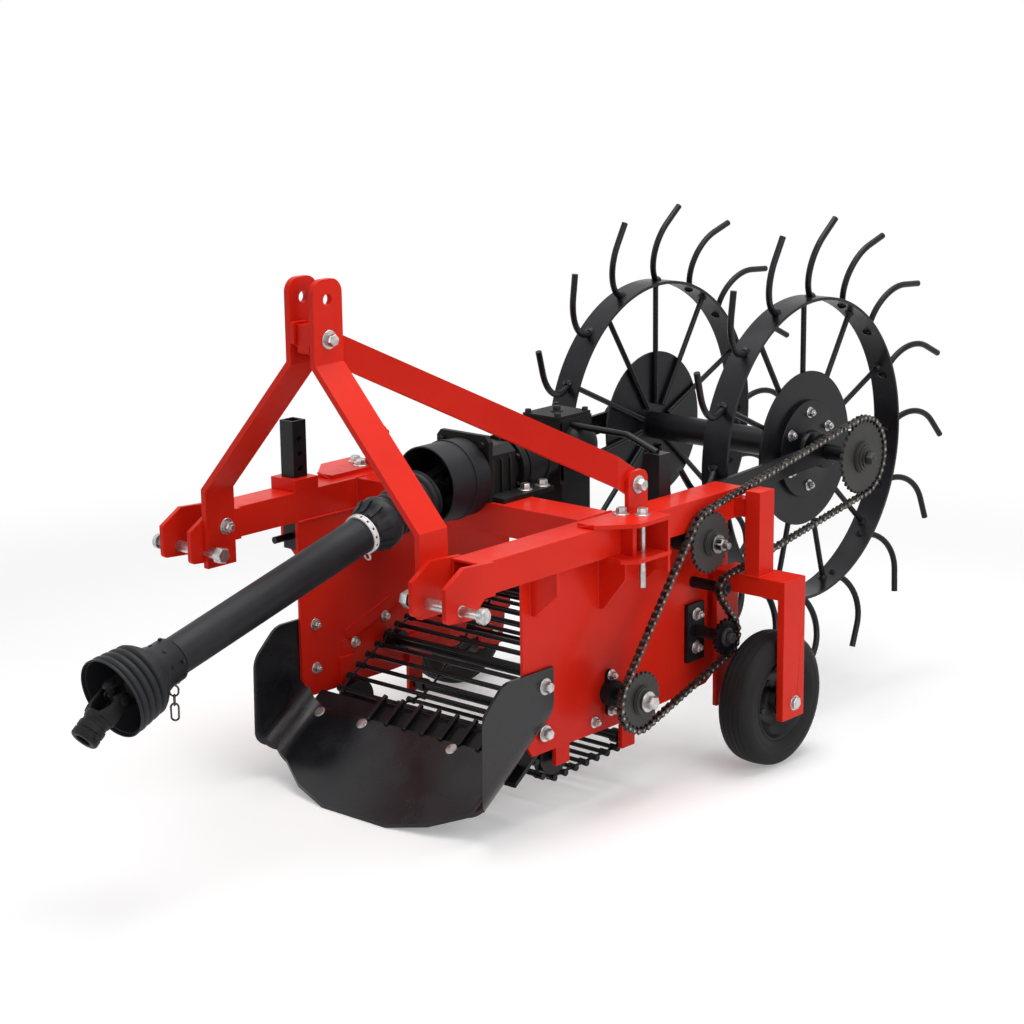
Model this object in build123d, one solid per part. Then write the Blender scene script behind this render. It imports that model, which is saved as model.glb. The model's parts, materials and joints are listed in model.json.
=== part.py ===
from build123d import *
import os
from math import asin, atan2, cos, hypot, pi, radians, sin, tan

# Single-row potato digger for a three-point hitch, millimetres.
# +X is the machine's left (drive) side, -Y is forwards to the tractor, +Z is up and the floor is z = 0.
# While it is being built, y = 0 is the axis of the lower link pins. The last section centres it.

# ---- driving sizes -------------------------------------------------------------------------------
PLATE = 8                # side plates, share and brackets
HEAVY = 12               # clevis plates and flat bars
BEAM_OUTER = 450         # centre plane to the outer face of a main beam
BEAM_WIDE = 86
BEAM_HIGH = 75
BEAM_WALL = 6
BEAM_TOP = 700
BEAM_FRONT = 75
BEAM_REAR = 1040
CROSS_FRONT = 515        # front face of the cross beam
CROSS_WIDE = 115

PIN_Z = 613              # lower link pins
PIN_R = 11               # free end that the lower link ball fits
PIN_SHANK = 13           # shouldered shank inside the clevis
PIN_REACH = 70           # free length outside the outer clevis plate
PIN_HEAD = 17
CLEVIS_FRONT = 50
CLEVIS_LOW = 21
MAST_BAR = 90            # wide face of a mast bar, along Y
MAST_THICK = 15
MAST_FRONT = -12         # front edge of the mast bars
MAST_GAP = 62            # clear width for the top link ball
MAST_TOP = 1291
MAST_HOLE_Z = MAST_TOP - 46
MAST_HOLE_R = 13
MAST_BEND_LOW = 767
MAST_BEND_HIGH = MAST_TOP - 188
MAST_FOOT = 576
STAY_HIGH = 64
STAY_BOLT_Y = 33
STAY_BOLT_Z = MAST_TOP - 135
STAY_TOP = MAST_HOLE_Z - 51          # heads of the stays end below the top link
LUG_BOLT_Y = 650
LUG_BOLT_Z = 771

SIDE_OUTER = 369         # outer face of a side plate
SIDE_FRONT = 303
SIDE_REAR = 1090
SIDE_LOW = 180
GUSSET_THICK = 8

SHARE_SLOPE = 35         # degrees, nose down
SHARE_NOSE = 110
SHARE_REAR = 322
SHARE_BEND = 70          # inside radius between floor and cheek
SHARE_CHEEK_FRONT = 150
SHARE_CHEEK_REAR = 402
SHARE_CHEEK_TOP = 376

ROD_R = 5.5              # elevator web rods
ROD_PITCH = 40
WEB_SIDE_GAP = 25        # between rod ends and side plates
ROD_HALF = SIDE_OUTER - PLATE - WEB_SIDE_GAP
STRAP_WIDE = 24          # side straps of the web
STRAP_THICK = 6
WEB_FRONT = (452, 142, 52)    # y, z, radius of the front roller
WEB_LIFT = (612, 261, 27)     # agitator rollers on the lower shaft
WEB_DRIVE = (945, 340, 42)    # driving rollers at the rear
WEB_RETURN = (700, 118, 18)   # roller that holds the return run down

CHAIN_X = 468            # plane of the side chain
CHAIN_PITCH = 19.05
CHAIN_HIGH = 17          # height of the link plates
CHAIN_WIDE = 16          # over the link plates
ROLLER_R = 6
TOOTH_CLEAR = 0.6        # running gap between tooth tips and rollers
LOWER_TEETH = 25
MIDDLE_TEETH = 27
REEL_TEETH = 34
WEB_TEETH = 17
IDLER_TEETH = 9
MIDDLE = (881, 591)      # y, z of the drop shaft below the gearbox
IDLER = (945, 463)       # outside idler below the middle sprocket

REEL_Y = 1540
REEL_Z = 690
REEL_PLANES = (290, -220)     # centre planes of the two tined wheels
REEL_R = 404             # outer radius of a ring
RING_WIDE = 78
RING_THICK = 8
TINE_R = 9
TINES = 16
TINE_TURN = -2            # degrees from a tine at the top
TINE_BEND_R = 110
TINE_KNEE = (35, -90, 490)    # bend of a tine: towards +X, along the ring, from the axis
TINE_TIP = (46, 35, 609)      # end of a tine, in the same directions
SPOKES = 11
SPOKE_R = 8
DISC_R = 206
FLANGE_R = 130
AXLE_R = 37
STUB_R = 20
ARM_X = 352              # inner face of the arms that carry the reel

TYRE_R = 170
TYRE_WIDE = 98
RIM_R = 98
WHEEL_Y = 1052
FORK_INNER = 390         # inner face of the inner leg
FORK_OUTER = 604
LEG_THICK = 20
TYRE_GAP = 5             # between tyre and outer leg
TYRE_X = FORK_OUTER - LEG_THICK - TYRE_GAP - TYRE_WIDE / 2
INNER_LEG_THICK = 12
LEG_WIDE = 90
FORK_TOP = 487
FORK_HIGH = 48
STEM_X = 484
STEM_WIDE = 44
STEM_DEEP = 61

PTO_Z = 755              # gearbox input shaft
GUARD_R = 95
GUARD_FRONT = 380
GUARD_REAR = 512
CASE_Y = 866             # centre of the bevel gearbox
CASE_HALF = 62
CASE_TOP = 852
JOINT_Y = 440            # rear universal joint
DRIVE_SLOPE = 15.4       # degrees that the driveline hangs below level
TUBE_R = 44
CONE_R = 93
SHAFT_JOINT = 1060       # distance between the two universal joints
YOKE_DROOP = 40
RUN_GAP = 0.3            # gap between pieces that turn or slide past each other

nodes = {}


# ---- shape helpers -------------------------------------------------------------------------------
def box(x0, x1, y0, y1, z0, z1):
    """Block between opposite corners."""
    return Pos((x0 + x1) / 2, (y0 + y1) / 2, (z0 + z1) / 2) * Box(abs(x1 - x0), abs(y1 - y0), abs(z1 - z0))


def plate_x(outline, x0, x1, bends=()):
    """Plate normal to X from an outline of (y, z) points; bends lists (point number, radius)."""
    face = Polygon(*outline, align=None)
    for number, radius in bends:
        corner = face.vertices().sort_by_distance(outline[number] + (0,))[0]
        face = fillet(corner, radius)
    return extrude(Plane.YZ.offset(x0) * face, x1 - x0, dir=(1, 0, 0))


def plate_z(outline, z0, z1):
    """Plate normal to Z from an outline of (x, y) points."""
    return extrude(Plane.XY.offset(z0) * Polygon(*outline, align=None), z1 - z0, dir=(0, 0, 1))


def bar_x(y, z, radius, x0, x1):
    """Round bar along X."""
    return Pos((x0 + x1) / 2, y, z) * Rot(0, 90, 0) * Cylinder(radius, abs(x1 - x0))


def bar_y(x, z, radius, y0, y1):
    """Round bar along Y."""
    return Pos(x, (y0 + y1) / 2, z) * Rot(90, 0, 0) * Cylinder(radius, abs(y1 - y0))


def bar_z(x, y, radius, z0, z1):
    """Upright round bar."""
    return Pos(x, y, (z0 + z1) / 2) * Cylinder(radius, abs(z1 - z0))


def flip(shape):
    """The same piece on the other side of the machine."""
    return mirror(shape, about=Plane.YZ)


def pair(name, shape):
    """Adds a piece on each side as two nodes."""
    nodes[name + "_left"] = shape
    nodes[name + "_right"] = flip(shape)


def both(name, shape):
    """Adds a piece and its twin on the other side as one node."""
    nodes[name] = shape + flip(shape)


# ---- main frame ----------------------------------------------------------------------------------
BEAM_INNER = BEAM_OUTER - BEAM_WIDE
BEAM_LOW = BEAM_TOP - BEAM_HIGH
beam = box(BEAM_INNER, BEAM_OUTER, BEAM_FRONT, BEAM_REAR, BEAM_LOW, BEAM_TOP)
beam -= box(BEAM_INNER + BEAM_WALL, BEAM_OUTER - BEAM_WALL, BEAM_FRONT, BEAM_REAR,
            BEAM_LOW + BEAM_WALL, BEAM_TOP - BEAM_WALL)
nodes["main_beam_left"] = beam

POST_SIDE = 45
POST_X = -407
POST_Y = 342
POST_LOW = 548
POST_TOP = 872
post_hole = box(POST_X - POST_SIDE / 2, POST_X + POST_SIDE / 2, POST_Y - POST_SIDE / 2, POST_Y + POST_SIDE / 2,
                POST_LOW, POST_TOP)
nodes["main_beam_right"] = flip(beam) - post_hole

cross = box(-BEAM_INNER, BEAM_INNER, CROSS_FRONT, CROSS_FRONT + CROSS_WIDE, BEAM_LOW, BEAM_TOP)
nodes["cross_beam"] = cross - box(-BEAM_INNER, BEAM_INNER, CROSS_FRONT + BEAM_WALL,
                                  CROSS_FRONT + CROSS_WIDE - BEAM_WALL, BEAM_LOW + BEAM_WALL, BEAM_TOP - BEAM_WALL)


# ---- three-point hitch ---------------------------------------------------------------------------
CLEVIS_REAR = BEAM_FRONT + 35
CLEVIS_TOP = BEAM_TOP + 6
clevis_outline = [
    (-CLEVIS_FRONT, PIN_Z - CLEVIS_LOW), (30, PIN_Z - CLEVIS_LOW - 6), (BEAM_FRONT, BEAM_LOW),
    (CLEVIS_REAR, BEAM_LOW), (CLEVIS_REAR, CLEVIS_TOP - 6), (10, CLEVIS_TOP), (-CLEVIS_FRONT, PIN_Z + 57),
]


def clevis_plate(x0):
    """One hitch plate with its pin hole."""
    plate = plate_x(clevis_outline, x0, x0 + HEAVY, bends=[(0, 12)])
    return plate - bar_x(0, PIN_Z, PIN_SHANK, x0, x0 + HEAVY)


pair("clevis", clevis_plate(BEAM_OUTER) + clevis_plate(BEAM_INNER - HEAVY))

PIN_INNER = BEAM_INNER - HEAVY - MAST_THICK - 24
PIN_OUTER = BEAM_OUTER + HEAVY + PIN_REACH
pin = bar_x(0, PIN_Z, PIN_SHANK, PIN_INNER, BEAM_OUTER + HEAVY)
pin += bar_x(0, PIN_Z, PIN_R, BEAM_OUTER + HEAVY, PIN_OUTER)
pin += bar_x(0, PIN_Z, PIN_HEAD, PIN_INNER - 10, PIN_INNER)
pair("lower_link_pin", pin)

MAST_REAR = MAST_FRONT + MAST_BAR
MAST_FOOT_X = BEAM_INNER - HEAVY
MAST_HEAD_X = MAST_GAP / 2 + MAST_THICK


def mast_section(offset):
    """Edge of a mast bar seen from the front, moved sideways by its thickness."""
    lean = atan2(MAST_FOOT_X - MAST_HEAD_X, MAST_BEND_HIGH - MAST_BEND_LOW)
    shift = offset * tan(lean / 2)
    return [(MAST_FOOT_X - offset, MAST_FOOT), (MAST_FOOT_X - offset, MAST_BEND_LOW - shift),
            (MAST_HEAD_X - offset, MAST_BEND_HIGH - shift), (MAST_HEAD_X - offset, MAST_TOP)]


mast_edge = mast_section(0) + mast_section(MAST_THICK)[::-1]
mast_face = Plane.XZ.offset(-MAST_REAR) * Polygon(*mast_edge, align=None)
mast = extrude(mast_face, MAST_BAR, dir=(0, -1, 0))
MAST_MID = (MAST_FRONT + MAST_REAR) / 2
head = plate_x([(MAST_FRONT, MAST_FOOT - 1), (MAST_REAR, MAST_FOOT - 1), (MAST_REAR, MAST_TOP), (MAST_FRONT, MAST_TOP)],
               0, MAST_FOOT_X, bends=[(2, MAST_BAR / 2 - 12), (3, MAST_BAR / 2 - 12)])
mast &= head
mast -= bar_x(MAST_MID, MAST_HOLE_Z, MAST_HOLE_R, 0, MAST_HEAD_X)
mast -= bar_x(0, PIN_Z, PIN_SHANK, MAST_FOOT_X - MAST_THICK, MAST_FOOT_X)
pair("mast_bar", mast)

STAY_HEAD_X = MAST_GAP / 2 - HEAVY
spacer = box(-STAY_HEAD_X, STAY_HEAD_X, MAST_FRONT + 10, MAST_REAR - 10, STAY_BOLT_Z - 32, STAY_BOLT_Z + 32)
nodes["mast_spacer"] = spacer

STAY_FOOT_X = 418


def stay_strip(offset):
    """One face of a stay seen from above: it leaves the mast, splays out and runs level at its lug."""
    splay = atan2(STAY_FOOT_X - MAST_GAP / 2, LUG_BOLT_Y - 60 - (MAST_REAR + 12))
    shift = offset * tan(splay / 2)
    return [(MAST_GAP / 2 - offset, MAST_FRONT), (MAST_GAP / 2 - offset, MAST_REAR + 12 + shift),
            (STAY_FOOT_X - offset, LUG_BOLT_Y - 60 + shift), (STAY_FOOT_X - offset, LUG_BOLT_Y + 30)]


stay_plan = stay_strip(0) + stay_strip(HEAVY)[::-1]
stay_fall = (LUG_BOLT_Z - STAY_BOLT_Z) / (LUG_BOLT_Y - STAY_BOLT_Y)
stay_half = STAY_HIGH / 2 / cos(atan2(-stay_fall, 1))


def stay_edge(y, side):
    """Point on the upper (+1) or lower (-1) edge of a stay."""
    return (y, STAY_BOLT_Z + stay_fall * (y - STAY_BOLT_Y) + side * stay_half)


stay = plate_z(stay_plan, BEAM_TOP, STAY_TOP)
stay &= plate_x([stay_edge(MAST_FRONT, 1), stay_edge(LUG_BOLT_Y + 30, 1),
                 stay_edge(LUG_BOLT_Y + 30, -1), stay_edge(MAST_FRONT, -1)], 0, BEAM_OUTER)
pair("stay", stay)

LUG_HALF = 36
lug = plate_x([(LUG_BOLT_Y - LUG_HALF, BEAM_TOP), (LUG_BOLT_Y + LUG_HALF, BEAM_TOP),
               (LUG_BOLT_Y + LUG_HALF, LUG_BOLT_Z + 34), (LUG_BOLT_Y - LUG_HALF, LUG_BOLT_Z + 34)],
              STAY_FOOT_X, STAY_FOOT_X + HEAVY, bends=[(2, 24), (3, 24)])


# ---- side plates, gussets and liners -------------------------------------------------------------
SIDE_INNER = SIDE_OUTER - PLATE
side_outline = [
    (SIDE_FRONT, BEAM_LOW), (SIDE_FRONT, SIDE_LOW + 40), (SIDE_FRONT + 30, SIDE_LOW - 8),
    (635, SIDE_LOW - 10), (1000, SIDE_LOW + 6), (SIDE_REAR, SIDE_LOW + 60), (SIDE_REAR, BEAM_LOW),
]
side = plate_x(side_outline, SIDE_INNER, SIDE_OUTER, bends=[(1, 20)])

GUSSETS = [  # y of the plate, depth below the beam
    (330, 112), (575, 148), (728, 112),
]
gusset_left = None
for gusset_y, gusset_deep in GUSSETS:
    outline = [(SIDE_OUTER, BEAM_LOW), (BEAM_OUTER, BEAM_LOW), (BEAM_OUTER, BEAM_LOW - gusset_deep * 0.45),
               (SIDE_OUTER + 14, BEAM_LOW - gusset_deep), (SIDE_OUTER, BEAM_LOW - gusset_deep)]
    rib_face = Plane.XZ.offset(-gusset_y - GUSSET_THICK) * Polygon(*outline, align=None)
    rib = extrude(rib_face, GUSSET_THICK, dir=(0, -1, 0))
    gusset_left = rib if gusset_left is None else gusset_left + rib


# ---- belts and chains: one clockwise path round pulleys, seen from +X ------------------------------
def around(centre, reach, heading):
    """Point beside a pulley centre, to the left of the heading."""
    return (centre[0] - reach * sin(heading), centre[1] + reach * cos(heading))


def belt_path(pulleys):
    """Headings on and off each pulley; a pulley is (y, z, reach) and its reach is negative outside the loop."""
    count = len(pulleys)
    leave = []
    for number in range(count):
        y0, z0, r0 = pulleys[number]
        y1, z1, r1 = pulleys[(number + 1) % count]
        leave.append(atan2(z1 - z0, y1 - y0) - asin((r0 - r1) / hypot(y1 - y0, z1 - z0)))
    path = []
    for number, (y, z, reach) in enumerate(pulleys):
        start, end = leave[number - 1], leave[number]
        turn = (start - end) % (2 * pi) if reach > 0 else -((end - start) % (2 * pi))
        path.append(((y, z), reach, start, turn))
    return path


def belt_loop(path, offset, x0, x1):
    """Solid slab inside the belt line moved outwards by offset."""
    edges = []
    for number, (centre, reach, start, turn) in enumerate(path):
        on = around(centre, reach + offset, start)
        middle = around(centre, reach + offset, start - turn / 2)
        off = around(centre, reach + offset, start - turn)
        following, next_reach, next_start, _ = path[(number + 1) % len(path)]
        edges.append(ThreePointArc(on, middle, off))
        edges.append(Line(off, around(following, next_reach + offset, next_start)))
    return extrude(Plane.YZ.offset(x0) * make_face(edges), x1 - x0, dir=(1, 0, 0))


def belt_band(path, low, high, x0, x1):
    """Closed band between two offsets of the belt line."""
    return belt_loop(path, high, x0, x1) - belt_loop(path, low, x0, x1)


def belt_places(path, offset, pitch):
    """Evenly spaced (y, z) places along the belt line, about one pitch apart."""
    pieces = []
    for number, (centre, reach, start, turn) in enumerate(path):
        following, next_reach, next_start, _ = path[(number + 1) % len(path)]
        off = around(centre, reach, start - turn)
        on = around(following, next_reach, next_start)
        pieces.append((abs(reach * turn), centre, reach, start, turn))
        pieces.append((hypot(on[0] - off[0], on[1] - off[1]), off, None, next_start, 0))
    length = sum(piece[0] for piece in pieces)
    count = round(length / pitch)
    places = []
    for number in range(count):
        along = length * number / count
        for size, origin, reach, heading, turn in pieces:
            if along < size:
                break
            along -= size
        if reach is None:
            base = (origin[0] + along * cos(heading), origin[1] + along * sin(heading))
            places.append(around(base, offset, heading))
        else:
            places.append(around(origin, reach + offset, heading - turn * along / size))
    return places


def flat_bar_x(y, z, radius, x0, x1, sides):
    """Bar along X with a regular section, drawn with few flats."""
    return extrude(Plane.YZ.offset(x0) * Pos(y, z) * RegularPolygon(radius, sides), x1 - x0, dir=(1, 0, 0))


# ---- elevator web ----------------------------------------------------------------------------------
ROD_SEAT = STRAP_THICK + ROD_R - 1
strap_in = ROD_HALF - STRAP_WIDE
web_path = belt_path([WEB_FRONT, WEB_LIFT, WEB_DRIVE, WEB_RETURN])
straps = belt_band(web_path, 0, STRAP_THICK, strap_in, ROD_HALF)
straps += belt_band(web_path, 0, STRAP_THICK, -ROD_HALF, -strap_in)
rods = [flat_bar_x(y, z, ROD_R, -ROD_HALF, ROD_HALF, 6) for y, z in belt_places(web_path, ROD_SEAT, ROD_PITCH)]
nodes["elevator_web"] = straps + rods

SHAFT_R = 15
BEARING_R = 32
BEARING_DEEP = 26
ROLLER_WIDE = STRAP_WIDE


def web_rollers(place, radius):
    """Rollers that run under both straps."""
    left = bar_x(place[0], place[1], radius, strap_in, strap_in + ROLLER_WIDE)
    return left + flip(left)


BRACKET_IN = SIDE_INNER - HEAVY
rollers, hangers = [], []
for y, z, radius in (WEB_FRONT, WEB_RETURN):
    rollers.append(web_rollers((y, z), radius - RUN_GAP) + bar_x(y, z, 12, -BRACKET_IN, BRACKET_IN))
    hangers.append(box(BRACKET_IN, SIDE_INNER, y - 25, y + 25, z - 20, SIDE_LOW + 70))
nodes["web_rollers"] = rollers[0] + rollers[1]
both("roller_hangers", hangers[0] + hangers[1])


# ---- shafts, bearings and sprockets ----------------------------------------------------------------
def pitch_radius(teeth):
    return CHAIN_PITCH / (2 * sin(pi / teeth))


def sprocket(teeth, y, z, hub_r, hub_in, hub_out):
    """Toothed disc in the chain plane with a hub; the tips stay just inside the chain's rollers."""
    tip = pitch_radius(teeth) - ROLLER_R - TOOTH_CLEAR
    root = tip - 6
    points = []
    for tooth in range(teeth):
        for reach, turn in [(root, -0.32), (tip, -0.14), (tip, 0.14), (root, 0.32)]:
            angle = 2 * pi * (tooth + turn) / teeth
            points.append((y + reach * cos(angle), z + reach * sin(angle)))
    disc = plate_x(points, CHAIN_X - 4.5, CHAIN_X + 4.5)
    return disc + bar_x(y, z, hub_r, hub_in, hub_out)


def bearing(place, bore, flange_turn=0):
    """Two-bolt flange bearing on the outside of the left side plate."""
    y, z = place
    body = bar_x(y, z, BEARING_R, SIDE_OUTER, SIDE_OUTER + BEARING_DEEP)
    ear = 44 * cos(radians(flange_turn)), 44 * sin(radians(flange_turn))
    for side in (1, -1):
        body += bar_x(y + side * ear[0], z + side * ear[1], 13, SIDE_OUTER, SIDE_OUTER + 10)
    body += Pos(SIDE_OUTER + 5, y, z) * Rot(flange_turn, 0, 0) * Box(10, 88, 26)
    return body - bar_x(y, z, bore, SIDE_OUTER, SIDE_OUTER + BEARING_DEEP)


SHAFT_END = CHAIN_X + 30
BEARING_GAP = 0.05
lower_place, drive_place, middle_place = WEB_LIFT[:2], WEB_DRIVE[:2], MIDDLE

chain_path = belt_path([
    (*lower_place, pitch_radius(LOWER_TEETH)), (*middle_place, pitch_radius(MIDDLE_TEETH)),
    (REEL_Y, REEL_Z, pitch_radius(REEL_TEETH)), (*IDLER, -pitch_radius(IDLER_TEETH)),
    (*drive_place, pitch_radius(WEB_TEETH)),
])
link_in = CHAIN_X - CHAIN_WIDE / 2
link_out = CHAIN_X + CHAIN_WIDE / 2
chain = belt_band(chain_path, -CHAIN_HIGH / 2, CHAIN_HIGH / 2, link_in, link_in + 2.5)
chain += belt_band(chain_path, -CHAIN_HIGH / 2, CHAIN_HIGH / 2, link_out - 2.5, link_out)
chain += [flat_bar_x(y, z, ROLLER_R, link_in + 2.5, link_out - 2.5, 6)
          for y, z in belt_places(chain_path, 0, CHAIN_PITCH)]
nodes["side_chain"] = chain

bearing_holes = bar_x(*middle_place, SHAFT_R + 6, 0, SIDE_OUTER)
for place in (lower_place, drive_place):
    bearing_holes += bar_x(*place, SHAFT_R + 6, 0, SIDE_OUTER)
side_left = side + gusset_left - bearing_holes
nodes["side_plate_left"] = side_left
nodes["side_plate_right"] = flip(side_left) - post_hole

shaft_reach = SIDE_OUTER + BEARING_DEEP + 8
through = bar_x(*lower_place, SHAFT_R, -shaft_reach, SHAFT_END)
nodes["lower_shaft"] = through + web_rollers(lower_place, WEB_LIFT[2] - RUN_GAP)
nodes["lower_sprocket"] = sprocket(LOWER_TEETH, *lower_place, 34, CHAIN_X - 14, CHAIN_X + 16) \
    - bar_x(*lower_place, SHAFT_R, 0, SHAFT_END)
lower_bearing = bearing(lower_place, SHAFT_R + BEARING_GAP, 90)

through = bar_x(*drive_place, SHAFT_R, -shaft_reach, CHAIN_X + 14)
through += sprocket(WEB_TEETH, *drive_place, 28, CHAIN_X - 14, CHAIN_X + 8)
nodes["web_shaft"] = through + web_rollers(drive_place, WEB_DRIVE[2] - RUN_GAP)
TENSION_Z = (262, 410)
tension = box(SIDE_OUTER, SIDE_OUTER + 12, WEB_DRIVE[0] - 34, WEB_DRIVE[0] + 34, *TENSION_Z)
tension += bar_x(*drive_place, BEARING_R, SIDE_OUTER, SIDE_OUTER + 14)
tension -= bar_x(*drive_place, SHAFT_R + BEARING_GAP, SIDE_OUTER, SIDE_OUTER + 14)
both("tension_plates", tension)

DROP_HALF = 45
nodes["middle_shaft"] = bar_x(*middle_place, SHAFT_R, -DROP_HALF + 15, CHAIN_X + 42)
nodes["middle_sprocket"] = sprocket(MIDDLE_TEETH, *middle_place, 30, CHAIN_X - 14, CHAIN_X + 16) \
    - bar_x(*middle_place, SHAFT_R, 0, SHAFT_END)
middle_bearing = bar_x(*middle_place, BEARING_R, SIDE_OUTER, SIDE_OUTER + BEARING_DEEP)
middle_bearing -= bar_x(*middle_place, SHAFT_R + BEARING_GAP, 0, SHAFT_END)
nodes["shaft_bearings"] = lower_bearing + flip(lower_bearing) + middle_bearing

idler_pin = bar_x(*IDLER, 8, SIDE_OUTER, CHAIN_X + 12) + bar_x(*IDLER, 14, SIDE_OUTER, CHAIN_X - 10)
nodes["idler_pin"] = idler_pin
idler = sprocket(IDLER_TEETH, *IDLER, 15, CHAIN_X - 9, CHAIN_X + 9)
nodes["idler_sprocket"] = idler - bar_x(*IDLER, 8 + BEARING_GAP, 0, SHAFT_END)


# ---- share -----------------------------------------------------------------------------------------
slope = radians(SHARE_SLOPE)
share_plane = Plane(origin=(0, SHARE_NOSE, 0), x_dir=(1, 0, 0), z_dir=(0, -cos(slope), -sin(slope)))
SHARE_HALF = SIDE_OUTER + PLATE
SHARE_DEEP = 420


def trough(half, low, radius):
    """Cross-section of the bent share plate, open at the top."""
    outline = Polygon((-half, low), (half, low), (half, SHARE_DEEP), (-half, SHARE_DEEP), align=None)
    corners = outline.vertices().sort_by(Axis.Y)[:2]
    return fillet(corners, radius)


section = trough(SHARE_HALF, 0, SHARE_BEND + PLATE) - trough(SHARE_HALF - PLATE, PLATE, SHARE_BEND)
share = extrude(share_plane * section, -600)
share += extrude(share_plane * section, 60)


def share_floor(y):
    """Height of the underside of the share."""
    return (y - SHARE_NOSE) * tan(slope)


cheek_outline = [
    (SHARE_NOSE - 20, -15), (SHARE_NOSE, 0), (SHARE_REAR, share_floor(SHARE_REAR)),
    (SHARE_REAR + 10, share_floor(SHARE_REAR)), (SHARE_CHEEK_REAR, 193), (SHARE_CHEEK_REAR, SHARE_CHEEK_TOP),
    (SHARE_CHEEK_FRONT + 80, SHARE_CHEEK_TOP), (SHARE_CHEEK_FRONT + 4, SHARE_CHEEK_TOP - 70),
    (SHARE_CHEEK_FRONT, 105), (SHARE_CHEEK_FRONT - 4, 45), (SHARE_NOSE - 20, 20),
]
share &= plate_x(cheek_outline, -SHARE_HALF, SHARE_HALF, bends=[(6, 60), (7, 60)])
lip_side = [(105, SHARE_NOSE), (215, SHARE_NOSE + 28), (302, SHARE_NOSE + 72), (342, SHARE_NOSE + 80),
            (362, SHARE_NOSE + 64), (SHARE_HALF, SHARE_CHEEK_FRONT), (SHARE_HALF, SHARE_CHEEK_REAR)]
lip = lip_side + [(-x, y) for x, y in lip_side[::-1]]
share &= plate_z(lip, 0, SHARE_CHEEK_TOP)
share -= box(-SIDE_OUTER, SIDE_OUTER, SHARE_REAR, SHARE_CHEEK_REAR, 0, SHARE_CHEEK_TOP)
nodes["share"] = share - side - flip(side)

CARRIER_REAR = 368
CARRIER_THICK = 10
carrier_outline = [(y, share_floor(y) - drop) for y, drop in [
    (SHARE_REAR - 40, 0), (CARRIER_REAR, 0), (CARRIER_REAR, CARRIER_THICK / cos(slope)),
    (SHARE_REAR - 40, CARRIER_THICK / cos(slope))]]
carrier = plate_x(carrier_outline, -SIDE_INNER, SIDE_INNER)

FINGER_R = 7
FINGER_LONG = 62
FINGER_X = [-150 + 60 * number for number in range(7)]
FINGER_START = SHARE_REAR + 6
finger_plane = Plane(origin=(0, FINGER_START, share_floor(FINGER_START)), x_dir=(1, 0, 0),
                     z_dir=(0, cos(slope), sin(slope)))
for x in FINGER_X:
    carrier += finger_plane * Pos(x, -FINGER_R, FINGER_LONG / 2) * Box(2 * FINGER_R, 2 * FINGER_R, FINGER_LONG)
nodes["share_carrier"] = carrier


# ---- gauge wheels and their forks --------------------------------------------------------------------
WHEEL_Z = TYRE_R
AXLE_BOLT_R = 12
HUB_R = 27
FORK_FRONT = WHEEL_Y - LEG_WIDE / 2 - 5
FORK_REAR = FORK_FRONT + LEG_WIDE
LEG_LOW = WHEEL_Z - 38
fork = box(FORK_INNER, FORK_OUTER, FORK_FRONT, FORK_REAR, FORK_TOP - FORK_HIGH, FORK_TOP)
fork += box(FORK_INNER, FORK_INNER + INNER_LEG_THICK, FORK_FRONT, FORK_REAR, LEG_LOW, FORK_TOP - FORK_HIGH)
fork += box(FORK_OUTER - LEG_THICK, FORK_OUTER, FORK_FRONT, FORK_REAR, LEG_LOW, FORK_TOP - FORK_HIGH)
fork -= bar_x(WHEEL_Y, WHEEL_Z, AXLE_BOLT_R, FORK_INNER, FORK_OUTER)
fork += box(STEM_X, STEM_X + STEM_WIDE, FORK_FRONT, FORK_FRONT + STEM_DEEP, FORK_TOP, BEAM_TOP)
fork += box(BEAM_OUTER, STEM_X, FORK_FRONT + 2, BEAM_REAR - 2, BEAM_LOW + 7, BEAM_TOP - 22)
fork += box(SIDE_OUTER, FORK_INNER, FORK_FRONT + 20, SIDE_REAR - 8, 300, FORK_TOP - 20)
pair("wheel_fork", fork)

HUB_IN = TYRE_X - 34
HUB_OUT = TYRE_X + 34
axle = bar_x(WHEEL_Y, WHEEL_Z, AXLE_BOLT_R, FORK_INNER - 6, FORK_OUTER + 4)
axle += bar_x(WHEEL_Y, WHEEL_Z, AXLE_BOLT_R + 6, FORK_INNER + INNER_LEG_THICK, HUB_IN - RUN_GAP)
axle += bar_x(WHEEL_Y, WHEEL_Z, AXLE_BOLT_R + 6, HUB_OUT + RUN_GAP, FORK_OUTER - LEG_THICK)
axle += bar_x(WHEEL_Y, WHEEL_Z, AXLE_BOLT_R + 7, FORK_OUTER, FORK_OUTER + 10)
both("wheel_axles", axle)


def ring_section(points):
    """Revolved piece about the wheel axle from (x, radius) points."""
    return revolve(Polygon(*points, align=None), Axis.X)


half = TYRE_WIDE / 2
tyre = ring_section([
    (-half + 12, RIM_R), (-half, RIM_R + 26), (-half, TYRE_R - 22), (-half + 12, TYRE_R - 4), (0, TYRE_R),
    (half - 12, TYRE_R - 4), (half, TYRE_R - 22), (half, RIM_R + 26), (half - 12, RIM_R)])
rim = ring_section([
    (-half + 14, RIM_R), (-half + 14, RIM_R - 6), (-12, RIM_R - 18), (-12, HUB_R), (-34, HUB_R),
    (-34, AXLE_BOLT_R + BEARING_GAP), (34, AXLE_BOLT_R + BEARING_GAP), (34, HUB_R), (-4, HUB_R),
    (-4, RIM_R - 26), (half - 14, RIM_R - 6), (half - 14, RIM_R)])
wheel_place = Pos(TYRE_X, WHEEL_Y, WHEEL_Z)
pair("tyre", wheel_place * tyre)
pair("wheel_rim", wheel_place * rim)


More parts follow.
